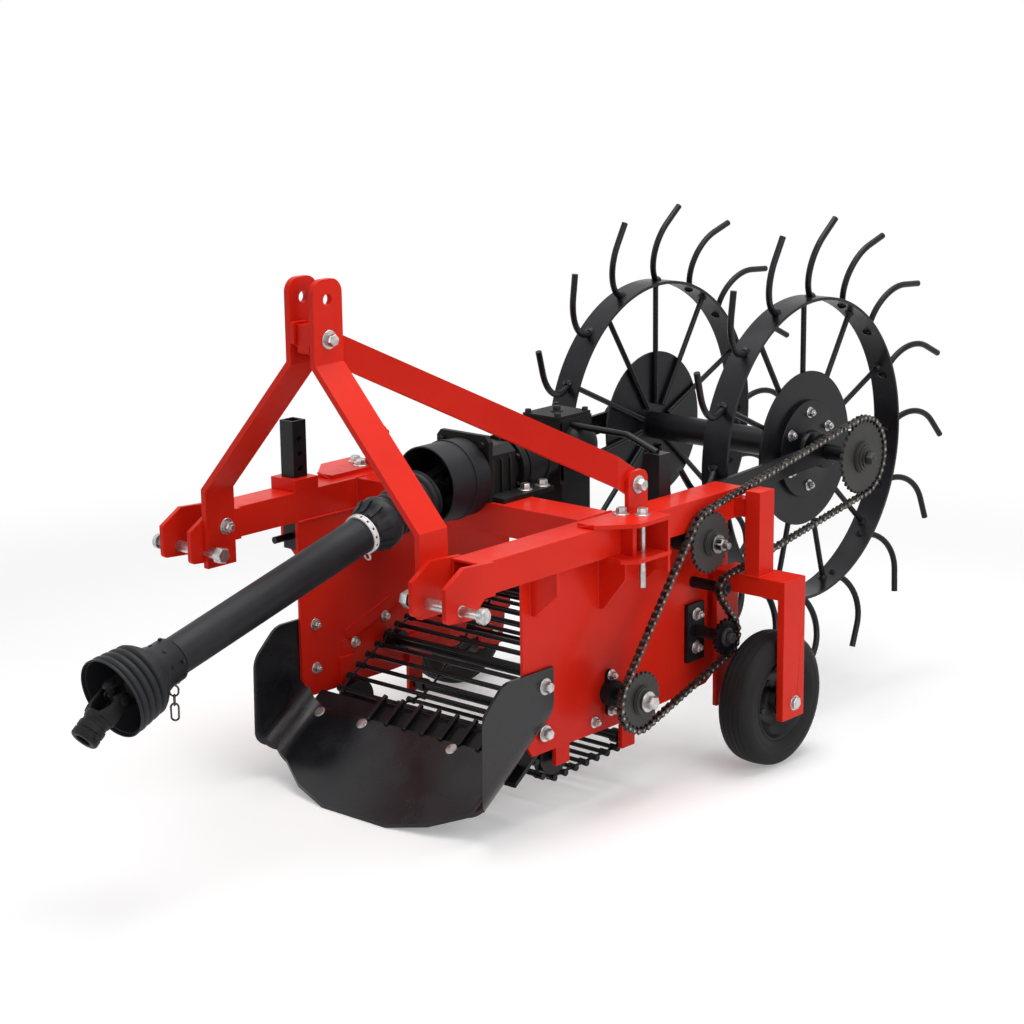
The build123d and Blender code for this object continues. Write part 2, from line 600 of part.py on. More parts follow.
# ---- reel ------------------------------------------------------------------------------------------
ARM_THICK = HEAVY
ARM_HIGH = 56
ARM_HUB_R = 44
arm_outline = [(BEAM_REAR - 140, 638), (BEAM_REAR, 638), (REEL_Y, REEL_Z - ARM_HIGH / 2),
               (REEL_Y, REEL_Z + ARM_HIGH / 2), (BEAM_REAR, 694), (BEAM_REAR - 140, 694)]
arm = plate_x(arm_outline, ARM_X, ARM_X + ARM_THICK)
arm += bar_x(REEL_Y, REEL_Z, ARM_HUB_R, ARM_X - 14, ARM_X + ARM_THICK)
arm -= bar_x(REEL_Y, REEL_Z, STUB_R + BEARING_GAP, ARM_X - 14, ARM_X + ARM_THICK)
both("reel_arms", arm)

near_x, far_x = REEL_PLANES
axle_tube = bar_x(REEL_Y, REEL_Z, AXLE_R, far_x + 3, near_x - 3)
axle_tube += bar_x(REEL_Y, REEL_Z, STUB_R, near_x - 3, CHAIN_X + 24)
axle_tube += bar_x(REEL_Y, REEL_Z, STUB_R, -ARM_X - ARM_THICK - 8, far_x + 3)
nodes["reel_axle"] = axle_tube


def tine():
    """Bent round bar that leaves a ring at its top, leans back, and curves over outward and forward."""
    path = FilletPolyline((0, 0, REEL_R - 0.5), TINE_KNEE, TINE_TIP, radius=TINE_BEND_R)
    start = Plane(origin=path @ 0, z_dir=path % 0)
    return sweep(start * RegularPolygon(TINE_R, 6), path=path)


one_tine = tine()
spoke_in = 62


def reel_wheel(name, plane, outward):
    """Tined ring and its disc with spokes; outward is +1 when the flange faces +X."""
    ring = bar_x(0, 0, REEL_R, -RING_WIDE / 2, RING_WIDE / 2) \
        - bar_x(0, 0, REEL_R - RING_THICK, -RING_WIDE / 2, RING_WIDE / 2)
    ring += [Rot(360 * number / TINES + TINE_TURN, 0, 0) * one_tine for number in range(TINES)]
    disc = bar_x(0, 0, DISC_R, -3, 3) + bar_x(0, 0, FLANGE_R, outward * 3, outward * 15)
    disc += bar_x(0, 0, 48, outward * 15, outward * 30)
    reach = REEL_R - RING_THICK / 2 - spoke_in
    for number in range(SPOKES):
        spoke = Pos(-outward * (3 + SPOKE_R - 1), 0, spoke_in) * extrude(RegularPolygon(SPOKE_R, 6), reach)
        disc += Rot(360 * number / SPOKES, 0, 0) * spoke
    disc &= bar_x(0, 0, REEL_R - RING_THICK, -60, 60)
    disc -= bar_x(0, 0, AXLE_R, -outward * 60, -outward * 3)
    disc -= bar_x(0, 0, STUB_R, -3, outward * 30) if outward > 0 else bar_x(0, 0, STUB_R, -30, 3)
    place = Pos(plane, REEL_Y, REEL_Z)
    nodes["tined_ring_" + name] = place * ring
    nodes["reel_disc_" + name] = place * disc


reel_wheel("left", near_x, 1)
reel_wheel("right", far_x, -1)
nodes["reel_sprocket"] = sprocket(REEL_TEETH, REEL_Y, REEL_Z, 40, CHAIN_X - 18, CHAIN_X + 14) \
    - bar_x(REEL_Y, REEL_Z, STUB_R, 0, SHAFT_END)


# ---- clamp brackets and posts ------------------------------------------------------------------------
CLAMP_OUTER = 520
clamp = plate_z([(400, 463), (BEAM_OUTER, 463), (CLAMP_OUTER, 543), (CLAMP_OUTER, 661), (400, 661)],
                BEAM_TOP, BEAM_TOP + 10) - lug
clamp += plate_z([(BEAM_OUTER, 510), (490, 510), (CLAMP_OUTER, 540), (CLAMP_OUTER, 661), (BEAM_OUTER, 661)],
                 BEAM_LOW - 10, BEAM_LOW)
clamp += box(BEAM_OUTER, 485, 560, 575, BEAM_LOW, BEAM_TOP)
clamp += box(BEAM_OUTER, CLAMP_OUTER, 648, 656, 575, BEAM_TOP)
clamp += lug
pair("clamp_bracket", clamp)

post = box(POST_X - POST_SIDE / 2, POST_X + POST_SIDE / 2, POST_Y - POST_SIDE / 2, POST_Y + POST_SIDE / 2,
           POST_LOW, POST_TOP)
post_core = POST_SIDE / 2 - 5
post -= box(POST_X - post_core, POST_X + post_core, POST_Y - post_core, POST_Y + post_core, POST_LOW, POST_TOP)
for hole_z in (752, 790, 828):
    post -= bar_x(POST_Y, hole_z, 8, POST_X - POST_SIDE, POST_X + POST_SIDE)
post += bar_y(POST_X, 580, 9, POST_Y - 75, POST_Y + 40)
nodes["depth_post"] = post
nodes["post_collar"] = box(POST_X - 43, POST_X + 43, POST_Y - 40, POST_Y + 40, BEAM_TOP, BEAM_TOP + 30) - post_hole

REAR_POST_Y = (815, 860)
REAR_POST_TOP = 803
rear_post = box(BEAM_INNER - 48, BEAM_INNER, *REAR_POST_Y, 640, REAR_POST_TOP)
ROD_TOP = 835
rod_path = FilletPolyline((CASE_HALF - 20, 850, ROD_TOP), (250, 838, ROD_TOP), (BEAM_INNER - 24, 838, REAR_POST_TOP),
                          radius=40)
rod_start = Plane(origin=rod_path @ 0, z_dir=rod_path % 0)
brace_rod = sweep(rod_start * Circle(8), path=rod_path)


# ---- gearbox -----------------------------------------------------------------------------------------
guard = bar_y(0, PTO_Z, GUARD_R, GUARD_FRONT, GUARD_REAR) - bar_y(0, PTO_Z, GUARD_R - 4, GUARD_FRONT, GUARD_REAR - 4)
guard += bar_y(0, PTO_Z, GUARD_R + 3, GUARD_FRONT + 78, GUARD_FRONT + 84) \
    - bar_y(0, PTO_Z, GUARD_R - 4, GUARD_FRONT + 78, GUARD_FRONT + 84)
guard -= bar_y(0, PTO_Z, 20, GUARD_REAR - 4, GUARD_REAR)
nodes["shaft_guard"] = guard

HOUSING_R = 62
CASE_FRONT = CASE_Y - CASE_HALF
case = bar_y(0, PTO_Z, HOUSING_R, GUARD_REAR, CASE_FRONT) + bar_y(0, PTO_Z, 80, 648, 668)
case -= box(-200, 200, GUARD_REAR, CASE_FRONT, 0, BEAM_TOP)
case += box(-118, 118, 530, 715, BEAM_TOP, BEAM_TOP + 12)
case += box(-CASE_HALF, CASE_HALF, CASE_FRONT, CASE_Y + CASE_HALF, 690, CASE_TOP)
case += bar_x(CASE_Y, 820 - 42, 47, -90, 90)
case += box(-50, 50, 825, 935, 540, 690)
case -= bar_x(*MIDDLE, SHAFT_R + BEARING_GAP, -DROP_HALF + 14, 50)
nodes["gearbox_case"] = case
nodes["gearbox_cover"] = box(-58, 58, CASE_Y - 64, CASE_Y + 63, CASE_TOP, CASE_TOP + 8)
nodes["rear_post"] = rear_post + brace_rod - case


# ---- driveline ---------------------------------------------------------------------------------------
EAR_IN = 24
EAR_OUT = 36
CROSS_R = 8
PIN_GAP = 0.05
drive = Plane(origin=(0, JOINT_Y, PTO_Z), x_dir=(1, 0, 0),
              z_dir=(0, -cos(radians(DRIVE_SLOPE)), -sin(radians(DRIVE_SLOPE))))


def turned(points):
    """Piece turned about the local Z axis from (distance along, radius) points."""
    return revolve(Plane.XZ * Polygon(*[(radius, along) for along, radius in points], align=None), Axis.Z)


def ears(across_x, start, end):
    """Two ears of a yoke, on the X sides or on the Y sides of its axis."""
    wide, gap = (EAR_OUT - EAR_IN) / 2, (EAR_OUT + EAR_IN) / 2
    solids = []
    for side in (1, -1):
        if across_x:
            solids.append(Pos(side * gap, 0, (start + end) / 2) * Box(2 * wide, 30, end - start))
        else:
            solids.append(Pos(0, side * gap, (start + end) / 2) * Box(30, 2 * wide, end - start))
    return solids[0] + solids[1]


def cross():
    """Joint cross: one pin along X and one along Y."""
    return Pos(0, 0, 0) * Rot(0, 90, 0) * Cylinder(CROSS_R, 2 * EAR_OUT) + Rot(90, 0, 0) * Cylinder(CROSS_R, 2 * EAR_OUT)


rear_fork = Plane(origin=(0, JOINT_Y, PTO_Z), x_dir=(1, 0, 0), z_dir=(0, 1, 0))
fork_reach = GUARD_REAR - JOINT_Y
gear_yoke = ears(True, -16, 52) + Pos(0, 0, 48) * Cylinder(EAR_OUT, 8) + Pos(0, 0, (44 + fork_reach) / 2) \
    * Cylinder(19.9, fork_reach - 44)
gear_yoke -= Rot(0, 90, 0) * Cylinder(CROSS_R + PIN_GAP, 2 * EAR_OUT)
nodes["gearbox_yoke"] = rear_fork * gear_yoke

SEAT = 276
TUBE_END = 887
CONE_START = 892
INNER_R = 38
swing_yoke = ears(False, -14, 52) + Pos(0, 0, 50) * Cylinder(EAR_OUT, 8) + cross()
swing_yoke += turned([(46, 0), (46, 24), (70, 24), (70, 16), (SEAT, 16), (SEAT, TUBE_R - 3), (SEAT + 10, TUBE_R - 3),
                      (SEAT + 10, 0)])
nodes["rear_yoke"] = drive * swing_yoke


def ribs(start, end, r0, r1, count, deep):
    """Ribbed outside of a guard cone as (distance along, radius) points."""
    points = []
    for number in range(count):
        for part, lift in ((0.0, 0), (0.5, 0), (0.55, deep), (0.95, deep)):
            share_of = (number + part) / count
            points.append((start + (end - start) * share_of, r0 + (r1 - r0) * share_of + lift))
    return points + [(end, r1)]


rear_cone = turned(ribs(72, SEAT - 1, 65, 47, 4, -3) + [(SEAT - 1, TUBE_R), (SEAT - 36, TUBE_R), (SEAT - 40, TUBE_R - 3),
                                                       (72, 61)])
nodes["rear_cone"] = drive * rear_cone
outer_tube = turned([(SEAT - 36, TUBE_R - 3), (SEAT - 36, TUBE_R), (TUBE_END, TUBE_R), (TUBE_END, TUBE_R - 3)])
outer_tube += turned([(TUBE_END - 20, INNER_R + RUN_GAP), (TUBE_END - 20, TUBE_R - 2), (TUBE_END, TUBE_R - 2),
                      (TUBE_END, INNER_R + RUN_GAP)])
nodes["outer_guard_tube"] = drive * outer_tube
nodes["guard_collar"] = drive * turned([(SEAT, TUBE_R), (SEAT, TUBE_R + 4), (SEAT + 15, TUBE_R + 4), (SEAT + 15, TUBE_R)])

SLIDE = 250
CONE_END = SHAFT_JOINT + 9
CONE_NECK = CONE_START + 46
front_cone = turned([(CONE_START, 50), (CONE_NECK, 52), (CONE_NECK + 18, 58)]
                    + ribs(CONE_NECK + 42, CONE_END - 6, 79, CONE_R - 3, 4, 3)
                    + [(CONE_END - 6, CONE_R), (CONE_END, CONE_R), (CONE_END, CONE_R - 5), (CONE_NECK + 46, 73),
                       (CONE_NECK + 20, 52), (CONE_NECK, INNER_R + 6), (CONE_NECK, INNER_R), (CONE_START, INNER_R)])
nodes["front_cone"] = drive * front_cone
inner_tube = turned([(540, INNER_R - 3), (540, INNER_R), (CONE_NECK, INNER_R), (CONE_NECK, INNER_R - 3)])
inner_tube += turned([(CONE_NECK - 12, 14 + RUN_GAP), (CONE_NECK - 12, INNER_R - 2), (CONE_NECK, INNER_R - 2),
                      (CONE_NECK, 14 + RUN_GAP)])
nodes["inner_guard_tube"] = drive * inner_tube

front = Plane(origin=drive.from_local_coords((0, 0, SHAFT_JOINT)), x_dir=(1, 0, 0), z_dir=drive.z_dir)
shaft_yoke = ears(True, -56, 16) + Pos(0, 0, -56) * Cylinder(EAR_OUT, 10)
shaft_yoke += turned([(-400, 0), (-400, 14), (-84, 14), (-84, 24), (-56, 24), (-56, 0)])
shaft_yoke -= Rot(0, 90, 0) * Cylinder(CROSS_R + PIN_GAP, 2 * EAR_OUT + 2)
nodes["shaft_yoke"] = front * shaft_yoke

YOKE_LONG = 115
YOKE_HUB_R = 30
YOKE_BORE_R = 17.5
end_plane = Plane(origin=front.origin, x_dir=(1, 0, 0), z_dir=(0, -cos(radians(YOKE_DROOP)), -sin(radians(YOKE_DROOP))))
end_yoke = ears(False, -14, 50) + Pos(0, 0, 47) * Cylinder(EAR_OUT, 8) + cross()
end_yoke += Pos(0, 0, (47 + YOKE_LONG) / 2) * Cylinder(YOKE_HUB_R, YOKE_LONG - 47)
end_yoke -= Pos(0, 0, (52 + YOKE_LONG) / 2) * Cylinder(YOKE_BORE_R, YOKE_LONG - 52)
nodes["tractor_yoke"] = end_plane * end_yoke


# ---- centre the machine over the origin and write every node ------------------------------------------
boxes = [shape.bounding_box() for shape in nodes.values()]
shift_y = -(min(b.min.Y for b in boxes) + max(b.max.Y for b in boxes)) / 2
os.makedirs("parts", exist_ok=True)
for name, shape in nodes.items():
    export_step(Pos(0, shift_y, 0) * shape, f"parts/{name}.step")
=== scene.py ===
# Single-row potato digger for a tractor's three-point hitch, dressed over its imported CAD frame.
import json
import math
import random

import bmesh
import bpy
from mathutils import Matrix, Vector


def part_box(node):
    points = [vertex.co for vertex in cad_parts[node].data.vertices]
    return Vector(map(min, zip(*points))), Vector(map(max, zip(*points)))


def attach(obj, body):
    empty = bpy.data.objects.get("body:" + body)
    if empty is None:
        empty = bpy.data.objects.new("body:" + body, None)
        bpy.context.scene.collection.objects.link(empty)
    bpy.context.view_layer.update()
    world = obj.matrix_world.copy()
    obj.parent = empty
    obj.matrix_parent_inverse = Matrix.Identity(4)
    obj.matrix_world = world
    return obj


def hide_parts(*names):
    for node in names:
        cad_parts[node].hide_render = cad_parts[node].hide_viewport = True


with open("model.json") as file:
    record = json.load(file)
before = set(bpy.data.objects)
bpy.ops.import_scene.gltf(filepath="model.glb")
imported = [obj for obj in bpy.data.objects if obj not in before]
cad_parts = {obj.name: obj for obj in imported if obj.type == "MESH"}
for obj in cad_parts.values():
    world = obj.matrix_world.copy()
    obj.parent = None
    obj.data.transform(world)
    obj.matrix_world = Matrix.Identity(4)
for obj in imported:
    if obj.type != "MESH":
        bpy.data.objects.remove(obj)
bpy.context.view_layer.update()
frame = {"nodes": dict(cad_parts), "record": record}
random.seed(7)


# --- Studio and camera --------------------------------------------------------------------------------
# The machine stands on a plain white sweep under large soft lamps. The camera looks down a little
# at its front left corner with a long lens.
low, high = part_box("lower_link_pin_left")
hitch_y = (low[1] + high[1]) / 2          # axis of the lower link pins
AZIMUTH, ELEVATION, ROLL = math.radians(41.35), math.radians(13.54), math.radians(-0.71)
SENSOR_MM, LENS_MM = 36, 83.742
CAMERA_LEFT, CAMERA_AHEAD, CAMERA_UP = 3.790, 3.615, 2.014                      # metres
camera_data = bpy.data.cameras.new("studio_camera")
camera_data.sensor_width = SENSOR_MM
camera_data.lens = LENS_MM
camera_data.clip_end = 100
camera = bpy.data.objects.new("studio_camera", camera_data)
bpy.context.scene.collection.objects.link(camera)
camera.location = (CAMERA_LEFT, hitch_y - CAMERA_AHEAD, CAMERA_UP)
camera.rotation_euler = (
    Matrix.Rotation(AZIMUTH, 3, "Z") @ Matrix.Rotation(math.pi / 2 - ELEVATION, 3, "X") @ Matrix.Rotation(ROLL, 3, "Z")
).to_euler()
bpy.context.scene.camera = camera
bpy.context.scene.view_settings.view_transform = "Standard"


class Wire:
    """Output of a shader node; sums and products with numbers or other wires add Math nodes."""

    def __init__(self, tree, socket):
        self.tree, self.socket = tree, socket

    def __add__(self, other):
        return node(self.tree, "ShaderNodeMath", {"operation": "ADD"}, self, other)

    def __mul__(self, other):
        return node(self.tree, "ShaderNodeMath", {"operation": "MULTIPLY"}, self, other)

    __radd__, __rmul__ = __add__, __mul__

    def larger(self, other):
        """The larger of two values."""
        return node(self.tree, "ShaderNodeMath", {"operation": "MAXIMUM"}, self, other)


def node(tree, kind, settings, *values, out=0, **named):
    """Adds a node, sets its settings, then its inputs by place or by name, and wraps one output."""
    made = tree.nodes.new(kind)
    for key, value in settings.items():
        setattr(made, key, value)
    for place, value in list(enumerate(values)) + list(named.items()):
        socket = made.inputs[place.replace("_", " ") if isinstance(place, str) else place]
        if isinstance(value, Wire):
            tree.links.new(value.socket, socket)
        else:
            socket.default_value = value
    return Wire(tree, made.outputs[out])


def mix(tree, factor, first, second):
    """Blend of two colours."""
    made = tree.nodes.new("ShaderNodeMix")
    made.data_type = "RGBA"
    for place, value in ((0, factor), (6, first), (7, second)):
        if isinstance(value, Wire):
            tree.links.new(value.socket, made.inputs[place])
        else:
            made.inputs[place].default_value = value if place == 0 else (*value, 1)
    return Wire(tree, made.outputs[2])


def ramp(tree, value, low_end, high_end):
    """Value mapped to 0..1 between two ends, with soft ends."""
    return node(tree, "ShaderNodeMapRange", {"interpolation_type": "SMOOTHSTEP"}, value, low_end, high_end, 0.0, 1.0)


def noise(tree, scale, detail=3.0, rough=0.55):
    """Cloud noise in the object's own space."""
    place = node(tree, "ShaderNodeTexCoord", {}, out=3)
    return node(tree, "ShaderNodeTexNoise", {}, Vector=place, Scale=scale, Detail=detail, Roughness=rough)


def new_material(name):
    """Material with its node tree and surface shader."""
    material = bpy.data.materials.new(name)
    material.use_nodes = True
    tree = material.node_tree
    return material, tree, tree.nodes["Principled BSDF"]


def feed(tree, shader, **inputs):
    """Sets or links named inputs of the surface shader."""
    for name, value in inputs.items():
        socket = shader.inputs[name.replace("_", " ")]
        if isinstance(value, Wire):
            tree.links.new(value.socket, socket)
        else:
            socket.default_value = value


def seen_directly(tree):
    """One for camera, mirror and glass rays, nought for the rays that light the machine."""
    rays = tree.nodes.new("ShaderNodeLightPath")
    camera_ray, glossy_ray, glass_ray = (
        Wire(tree, rays.outputs[name]) for name in ("Is Camera Ray", "Is Glossy Ray", "Is Transmission Ray"))
    return camera_ray.larger(glossy_ray).larger(glass_ray)


FLOOR_HALF = 30
SHADE_ENDS, SWEEP_STARTS = 1.9, 3.4       # between these reaches the floor turns pure white
FLOOR_LIFT = 0.28         # glow that brings the open floor to white and leaves the soft shadow
floor_mesh = bpy.data.meshes.new("studio_floor")
floor_mesh.from_pydata([(-FLOOR_HALF, -FLOOR_HALF, 0), (FLOOR_HALF, -FLOOR_HALF, 0), (FLOOR_HALF, FLOOR_HALF, 0),
                        (-FLOOR_HALF, FLOOR_HALF, 0)], [], [(0, 1, 2, 3)])
floor = bpy.data.objects.new("studio_floor", floor_mesh)
bpy.context.scene.collection.objects.link(floor)
floor.location.z = -0.0005
floor_paint, tree, shader = new_material("studio_floor_paint")
feed(tree, shader, Base_Color=(0.86, 0.86, 0.86, 1), Roughness=0.9, Specular_IOR_Level=0.1)
lift = node(tree, "ShaderNodeEmission", {}, (1, 1, 1, 1), FLOOR_LIFT)
bright = node(tree, "ShaderNodeAddShader", {}, Wire(tree, shader.outputs[0]), lift)
white = node(tree, "ShaderNodeEmission", {}, (1, 1, 1, 1), 1.0)
reach = node(tree, "ShaderNodeVectorMath", {"operation": "LENGTH"}, node(tree, "ShaderNodeTexCoord", {}, out=3), out=1)
swept = node(tree, "ShaderNodeMixShader", {}, ramp(tree, reach, SHADE_ENDS, SWEEP_STARTS), bright, white)
chosen = node(tree, "ShaderNodeMixShader", {}, seen_directly(tree), Wire(tree, shader.outputs[0]), swept)
tree.links.new(chosen.socket, tree.nodes["Material Output"].inputs[0])
floor_mesh.materials.append(floor_paint)

WORLD_LIGHT = 0.24
world = bpy.data.worlds.new("studio")
bpy.context.scene.world = world
world.use_nodes = True
tree = world.node_tree
tree.nodes.clear()
fill = node(tree, "ShaderNodeBackground", {}, (1, 1, 1, 1), WORLD_LIGHT)
white = node(tree, "ShaderNodeBackground", {}, (1, 1, 1, 1), 1.0)
sky = node(tree, "ShaderNodeMixShader", {}, seen_directly(tree), fill, white)
tree.links.new(sky.socket, tree.nodes.new("ShaderNodeOutputWorld").inputs[0])


def soft_lamp(name, place, target, width, height, power):
    """Large rectangular lamp aimed at a point."""
    data = bpy.data.lights.new(name, "AREA")
    data.shape = "RECTANGLE"
    data.size, data.size_y = width, height
    data.energy = power
    lamp = bpy.data.objects.new(name, data)
    lamp.location = place
    lamp.rotation_euler = (Vector(target) - Vector(place)).to_track_quat("-Z", "Y").to_euler()
    bpy.context.scene.collection.objects.link(lamp)


for name, place, target, width, height, watts in (
        ("lamp_top", (0.3, 0.2, 4.2), (0, 0, 0.5), 3.4, 3.4, 145),
        ("lamp_left", (4.2, -0.6, 2.4), (0, 0, 0.6), 2.4, 2.6, 66),
        ("lamp_front", (-1.6, -4.6, 2.2), (0, 0, 0.6), 2.2, 2.4, 34)):
    soft_lamp(name, place, target, width, height, watts)


# --- Red welded frame ---------------------------------------------------------------------------------
# Box-section beams, mast, stays, side plates, brackets and wheel forks of steel, welded together
# and dipped in a glossy red powder coat that runs thick over edges and weld beads.
RED, RED_DEEP = (0.71, 0.021, 0.008), (0.60, 0.014, 0.006)
nodes = frame["nodes"]
body_of = {name: body for body, names in frame["record"]["behaviour"]["bodies"].items() for name in names}


def powder_coat(name, colour, deep, gloss):
    """Powder coat: faint orange peel, slight unevenness of colour and gloss."""
    material, tree, shader = new_material(name)
    cloud, peel, spots = noise(tree, 2.6, 3), noise(tree, 420, 2), noise(tree, 38, 4)
    bump = node(tree, "ShaderNodeBump", {}, Strength=0.05, Distance=0.0006, Height=peel)
    feed(tree, shader, Base_Color=mix(tree, ramp(tree, cloud, 0.35, 0.7), colour, deep),
         Roughness=gloss + 0.08 * ramp(tree, spots, 0.4, 0.7), Normal=bump, Coat_Weight=0.05, Coat_Roughness=0.12,
         Specular_IOR_Level=0.11)
    return material


red_coat = powder_coat("red_powder_coat", RED, RED_DEEP, 0.32)


def ease_edges(piece, edge):
    """Rounds a piece's sharp edges by so many millimetres."""
    eased = piece.modifiers.new("eased_edges", "BEVEL")
    eased.width = edge / 1000
    eased.segments = 2
    eased.limit_method = "ANGLE"
    eased.angle_limit = math.radians(35)


def dress(name, material, edge=1.6):
    """Puts a finish on a CAD node and eases its sharp edges."""
    piece = nodes[name]
    for place in piece.material_slots:
        place.material = material
    weld = piece.modifiers.new("seams", "WELD")
    weld.merge_threshold = 1e-5
    ease_edges(piece, edge)
    even = piece.modifiers.new("even_shading", "WEIGHTED_NORMAL")
    even.keep_sharp = False


def dress_slot(slot, material, edge=1.6):
    """The same finish on every CAD node of one material slot."""
    for entry in frame["record"]["subparts"]:
        if entry["material_slot"] == slot:
            dress(entry["node"], material, edge)


dress_slot("red_paint", red_coat)


def at(x, y, z):
    """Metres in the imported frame, from millimetres left, behind and above the lower link pins' floor point."""
    return Vector((x / 1000, hitch_y + y / 1000, z / 1000))


def facing(point, axis, turn=0.0):
    """Placement at a point with its own Z along an axis."""
    face = Vector(axis).to_track_quat("Z", "Y").to_matrix().to_4x4()
    return Matrix.Translation(point) @ face @ Matrix.Rotation(turn, 4, "Z")


def side_on(x, y=0.0, z=0.0):
    """Placement in a plane across the machine: its own X runs rearward, Y upward and Z to the left."""
    return Matrix(((0, 0, 1, x), (1, 0, 0, y), (0, 1, 0, z), (0, 0, 0, 1)))


class Stock:
    """Skins of one piece, gathered in millimetres before they become its mesh."""

    def __init__(self):
        self.points, self.faces = [], []

    def skin(self, rings, closed=False):
        """Joins rings of equal count; an open row of rings gets a face at each end."""
        count, first = len(rings[0]), len(self.points)
        for ring in rings:
            self.points.extend(ring)
        for number in range(len(rings) - (not closed)):
            near, far = first + number * count, first + (number + 1) % len(rings) * count
            self.faces += [(near + i, near + (i + 1) % count, far + (i + 1) % count, far + i) for i in range(count)]
        if not closed:
            last = first + (len(rings) - 1) * count
            self.faces += [tuple(range(first + count - 1, first - 1, -1)), tuple(range(last, last + count))]

    def turned(self, place, profile, steps=32, closed=False):
        """Turned shape from (along, radius) points; a closed profile leaves a bore."""
        angles = [2 * math.pi * (i + 0.5) / steps for i in range(steps)]
        self.skin([[place @ Vector((radius * math.cos(a), radius * math.sin(a), along)) for a in angles]
                   for along, radius in profile], closed)

    def prism(self, place, outline, depth, start=0.0):
        """Flat plate from an outline of two-way points."""
        self.skin([[place @ Vector((x, y, z)) for x, y in outline] for z in (start, start + depth)])

    def bar(self, path, radius, sides=12, closed=False):
        """Round bar along a path."""
        path = [Vector(point) for point in path]
        count, rings, up = len(path), [], None
        for i, point in enumerate(path):
            back = path[(i - 1) % count] if closed or i else point
            ahead = path[(i + 1) % count] if closed or i < count - 1 else point
            heading = (ahead - back).normalized()
            if up is None:
                up = heading.orthogonal().normalized()
            up = (up - heading * up.dot(heading)).normalized()
            side = heading.cross(up)
            rings.append([point + radius * (math.cos(a) * up + math.sin(a) * side)
                          for a in (2 * math.pi * k / sides for k in range(sides))])
        self.skin(rings, closed)


def bend(points, radius, steps=6):
    """Path with an arc of the given radius at each inner corner."""
    points = [Vector(point) for point in points]
    path = [points[0]]
    for before, corner, after in zip(points, points[1:], points[2:]):
        a, b = (before - corner).normalized(), (after - corner).normalized()
        half = a.angle(b) / 2
        middle = corner + (a + b).normalized() * radius / math.sin(half)
        start = corner + a * radius / math.tan(half) - middle
        end = corner + b * radius / math.tan(half) - middle
        path += [middle + start.slerp(end, i / steps).normalized() * radius for i in range(steps + 1)]
    return path + [points[-1]]


def make(name, stock, material, body, replaces=(), edge=0.0, sharp=35):
    """Turns stock into a piece with one material that rides on a body and may stand for CAD nodes, which it hides."""
    mesh = bpy.data.meshes.new(name)
    mesh.from_pydata([at(*point) for point in stock.points], [], stock.faces)
    solid = bmesh.new()
    solid.from_mesh(mesh)
    bmesh.ops.recalc_face_normals(solid, faces=solid.faces)
    solid.to_mesh(mesh)
    solid.free()
    mesh.materials.append(material)
    mesh.shade_smooth()
    mesh.set_sharp_from_angle(angle=math.radians(sharp))
    piece = bpy.data.objects.new(name, mesh)
    bpy.context.scene.collection.objects.link(piece)
    if edge:
        ease_edges(piece, edge)
    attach(piece, body)
    if replaces:
        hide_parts(*replaces)
    return piece


# --- Weld beads and liner strips ----------------------------------------------------------------------
# Rippled fillet welds where beams, plates and stems meet, and two wear strips bolted inside each
# side plate beside the web. All under the same red coat.
BEAM_IN, BEAM_OUT, BEAM_LOW, BEAM_TOP = 364, 450, 625, 700
SIDE_IN, SIDE_OUT = 361, 369
CROSS_FRONT, CROSS_REAR, BRACKET_TOP = 515, 630, 710
STEM_IN, STEM_OUT, STEM_FRONT, STEM_REAR, FORK_TOP = 484, 528, 1002, 1063, 487
GUSSET_FACES = ((330, 112), (338, 112), (575, 148), (583, 148), (728, 112))     # (y, depth below the beam)
BEAD, RIPPLE = 3.4, 4.5
SEAMS = (                                 # (x, y, z) of both ends on the left side
    ((BEAM_IN, CROSS_FRONT, BEAM_LOW), (BEAM_IN, CROSS_FRONT, BEAM_TOP)),
    ((BEAM_IN, CROSS_REAR, BEAM_LOW), (BEAM_IN, CROSS_REAR, BEAM_TOP)),
    ((BEAM_IN, CROSS_FRONT, BEAM_TOP), (BEAM_IN, CROSS_REAR, BEAM_TOP)),
    ((SIDE_OUT, 340, BEAM_LOW), (SIDE_OUT, 1000, BEAM_LOW)),
    ((SIDE_IN, 306, BEAM_LOW), (SIDE_IN, 510, BEAM_LOW)),
    ((BEAM_IN, 110, BEAM_LOW + 2), (BEAM_IN, 110, BEAM_TOP)),
    ((BEAM_OUT, 110, BEAM_LOW + 2), (BEAM_OUT, 110, BEAM_TOP)),
    *(((SIDE_OUT, y, BEAM_LOW - deep), (SIDE_OUT, y, BEAM_LOW)) for y, deep in GUSSET_FACES),
    ((STEM_IN, STEM_FRONT, FORK_TOP), (STEM_OUT, STEM_FRONT, FORK_TOP)),
    ((STEM_IN, STEM_REAR, FORK_TOP), (STEM_OUT, STEM_REAR, FORK_TOP)),
    ((STEM_OUT, STEM_FRONT, FORK_TOP), (STEM_OUT, STEM_REAR, FORK_TOP)),
    ((418, 614, BRACKET_TOP), (418, 686, BEAM_TOP)),
    ((430, 614, BRACKET_TOP), (430, 660, BRACKET_TOP)),
    ((BEAM_OUT, 463, BRACKET_TOP), (404, 463, BEAM_TOP)))


def weld_bead(stock, start, end):
    """Rippled bead between two points."""
    start, end = Vector(start), Vector(end)
    steps = max(2, round((end - start).length / RIPPLE))
    along = (end - start).normalized()
    profile = [(i * RIPPLE, BEAD * (0.75 if i in (0, steps) else random.uniform(0.9, 1.12))) for i in range(steps + 1)]
    stock.turned(facing(start, along), profile, 8)


beads = Stock()
for side in (-1, 1):
    for start, end in SEAMS:
        weld_bead(beads, (side * start[0], *start[1:]), (side * end[0], *end[1:]))
make("weld_beads", beads, red_coat, "frame")

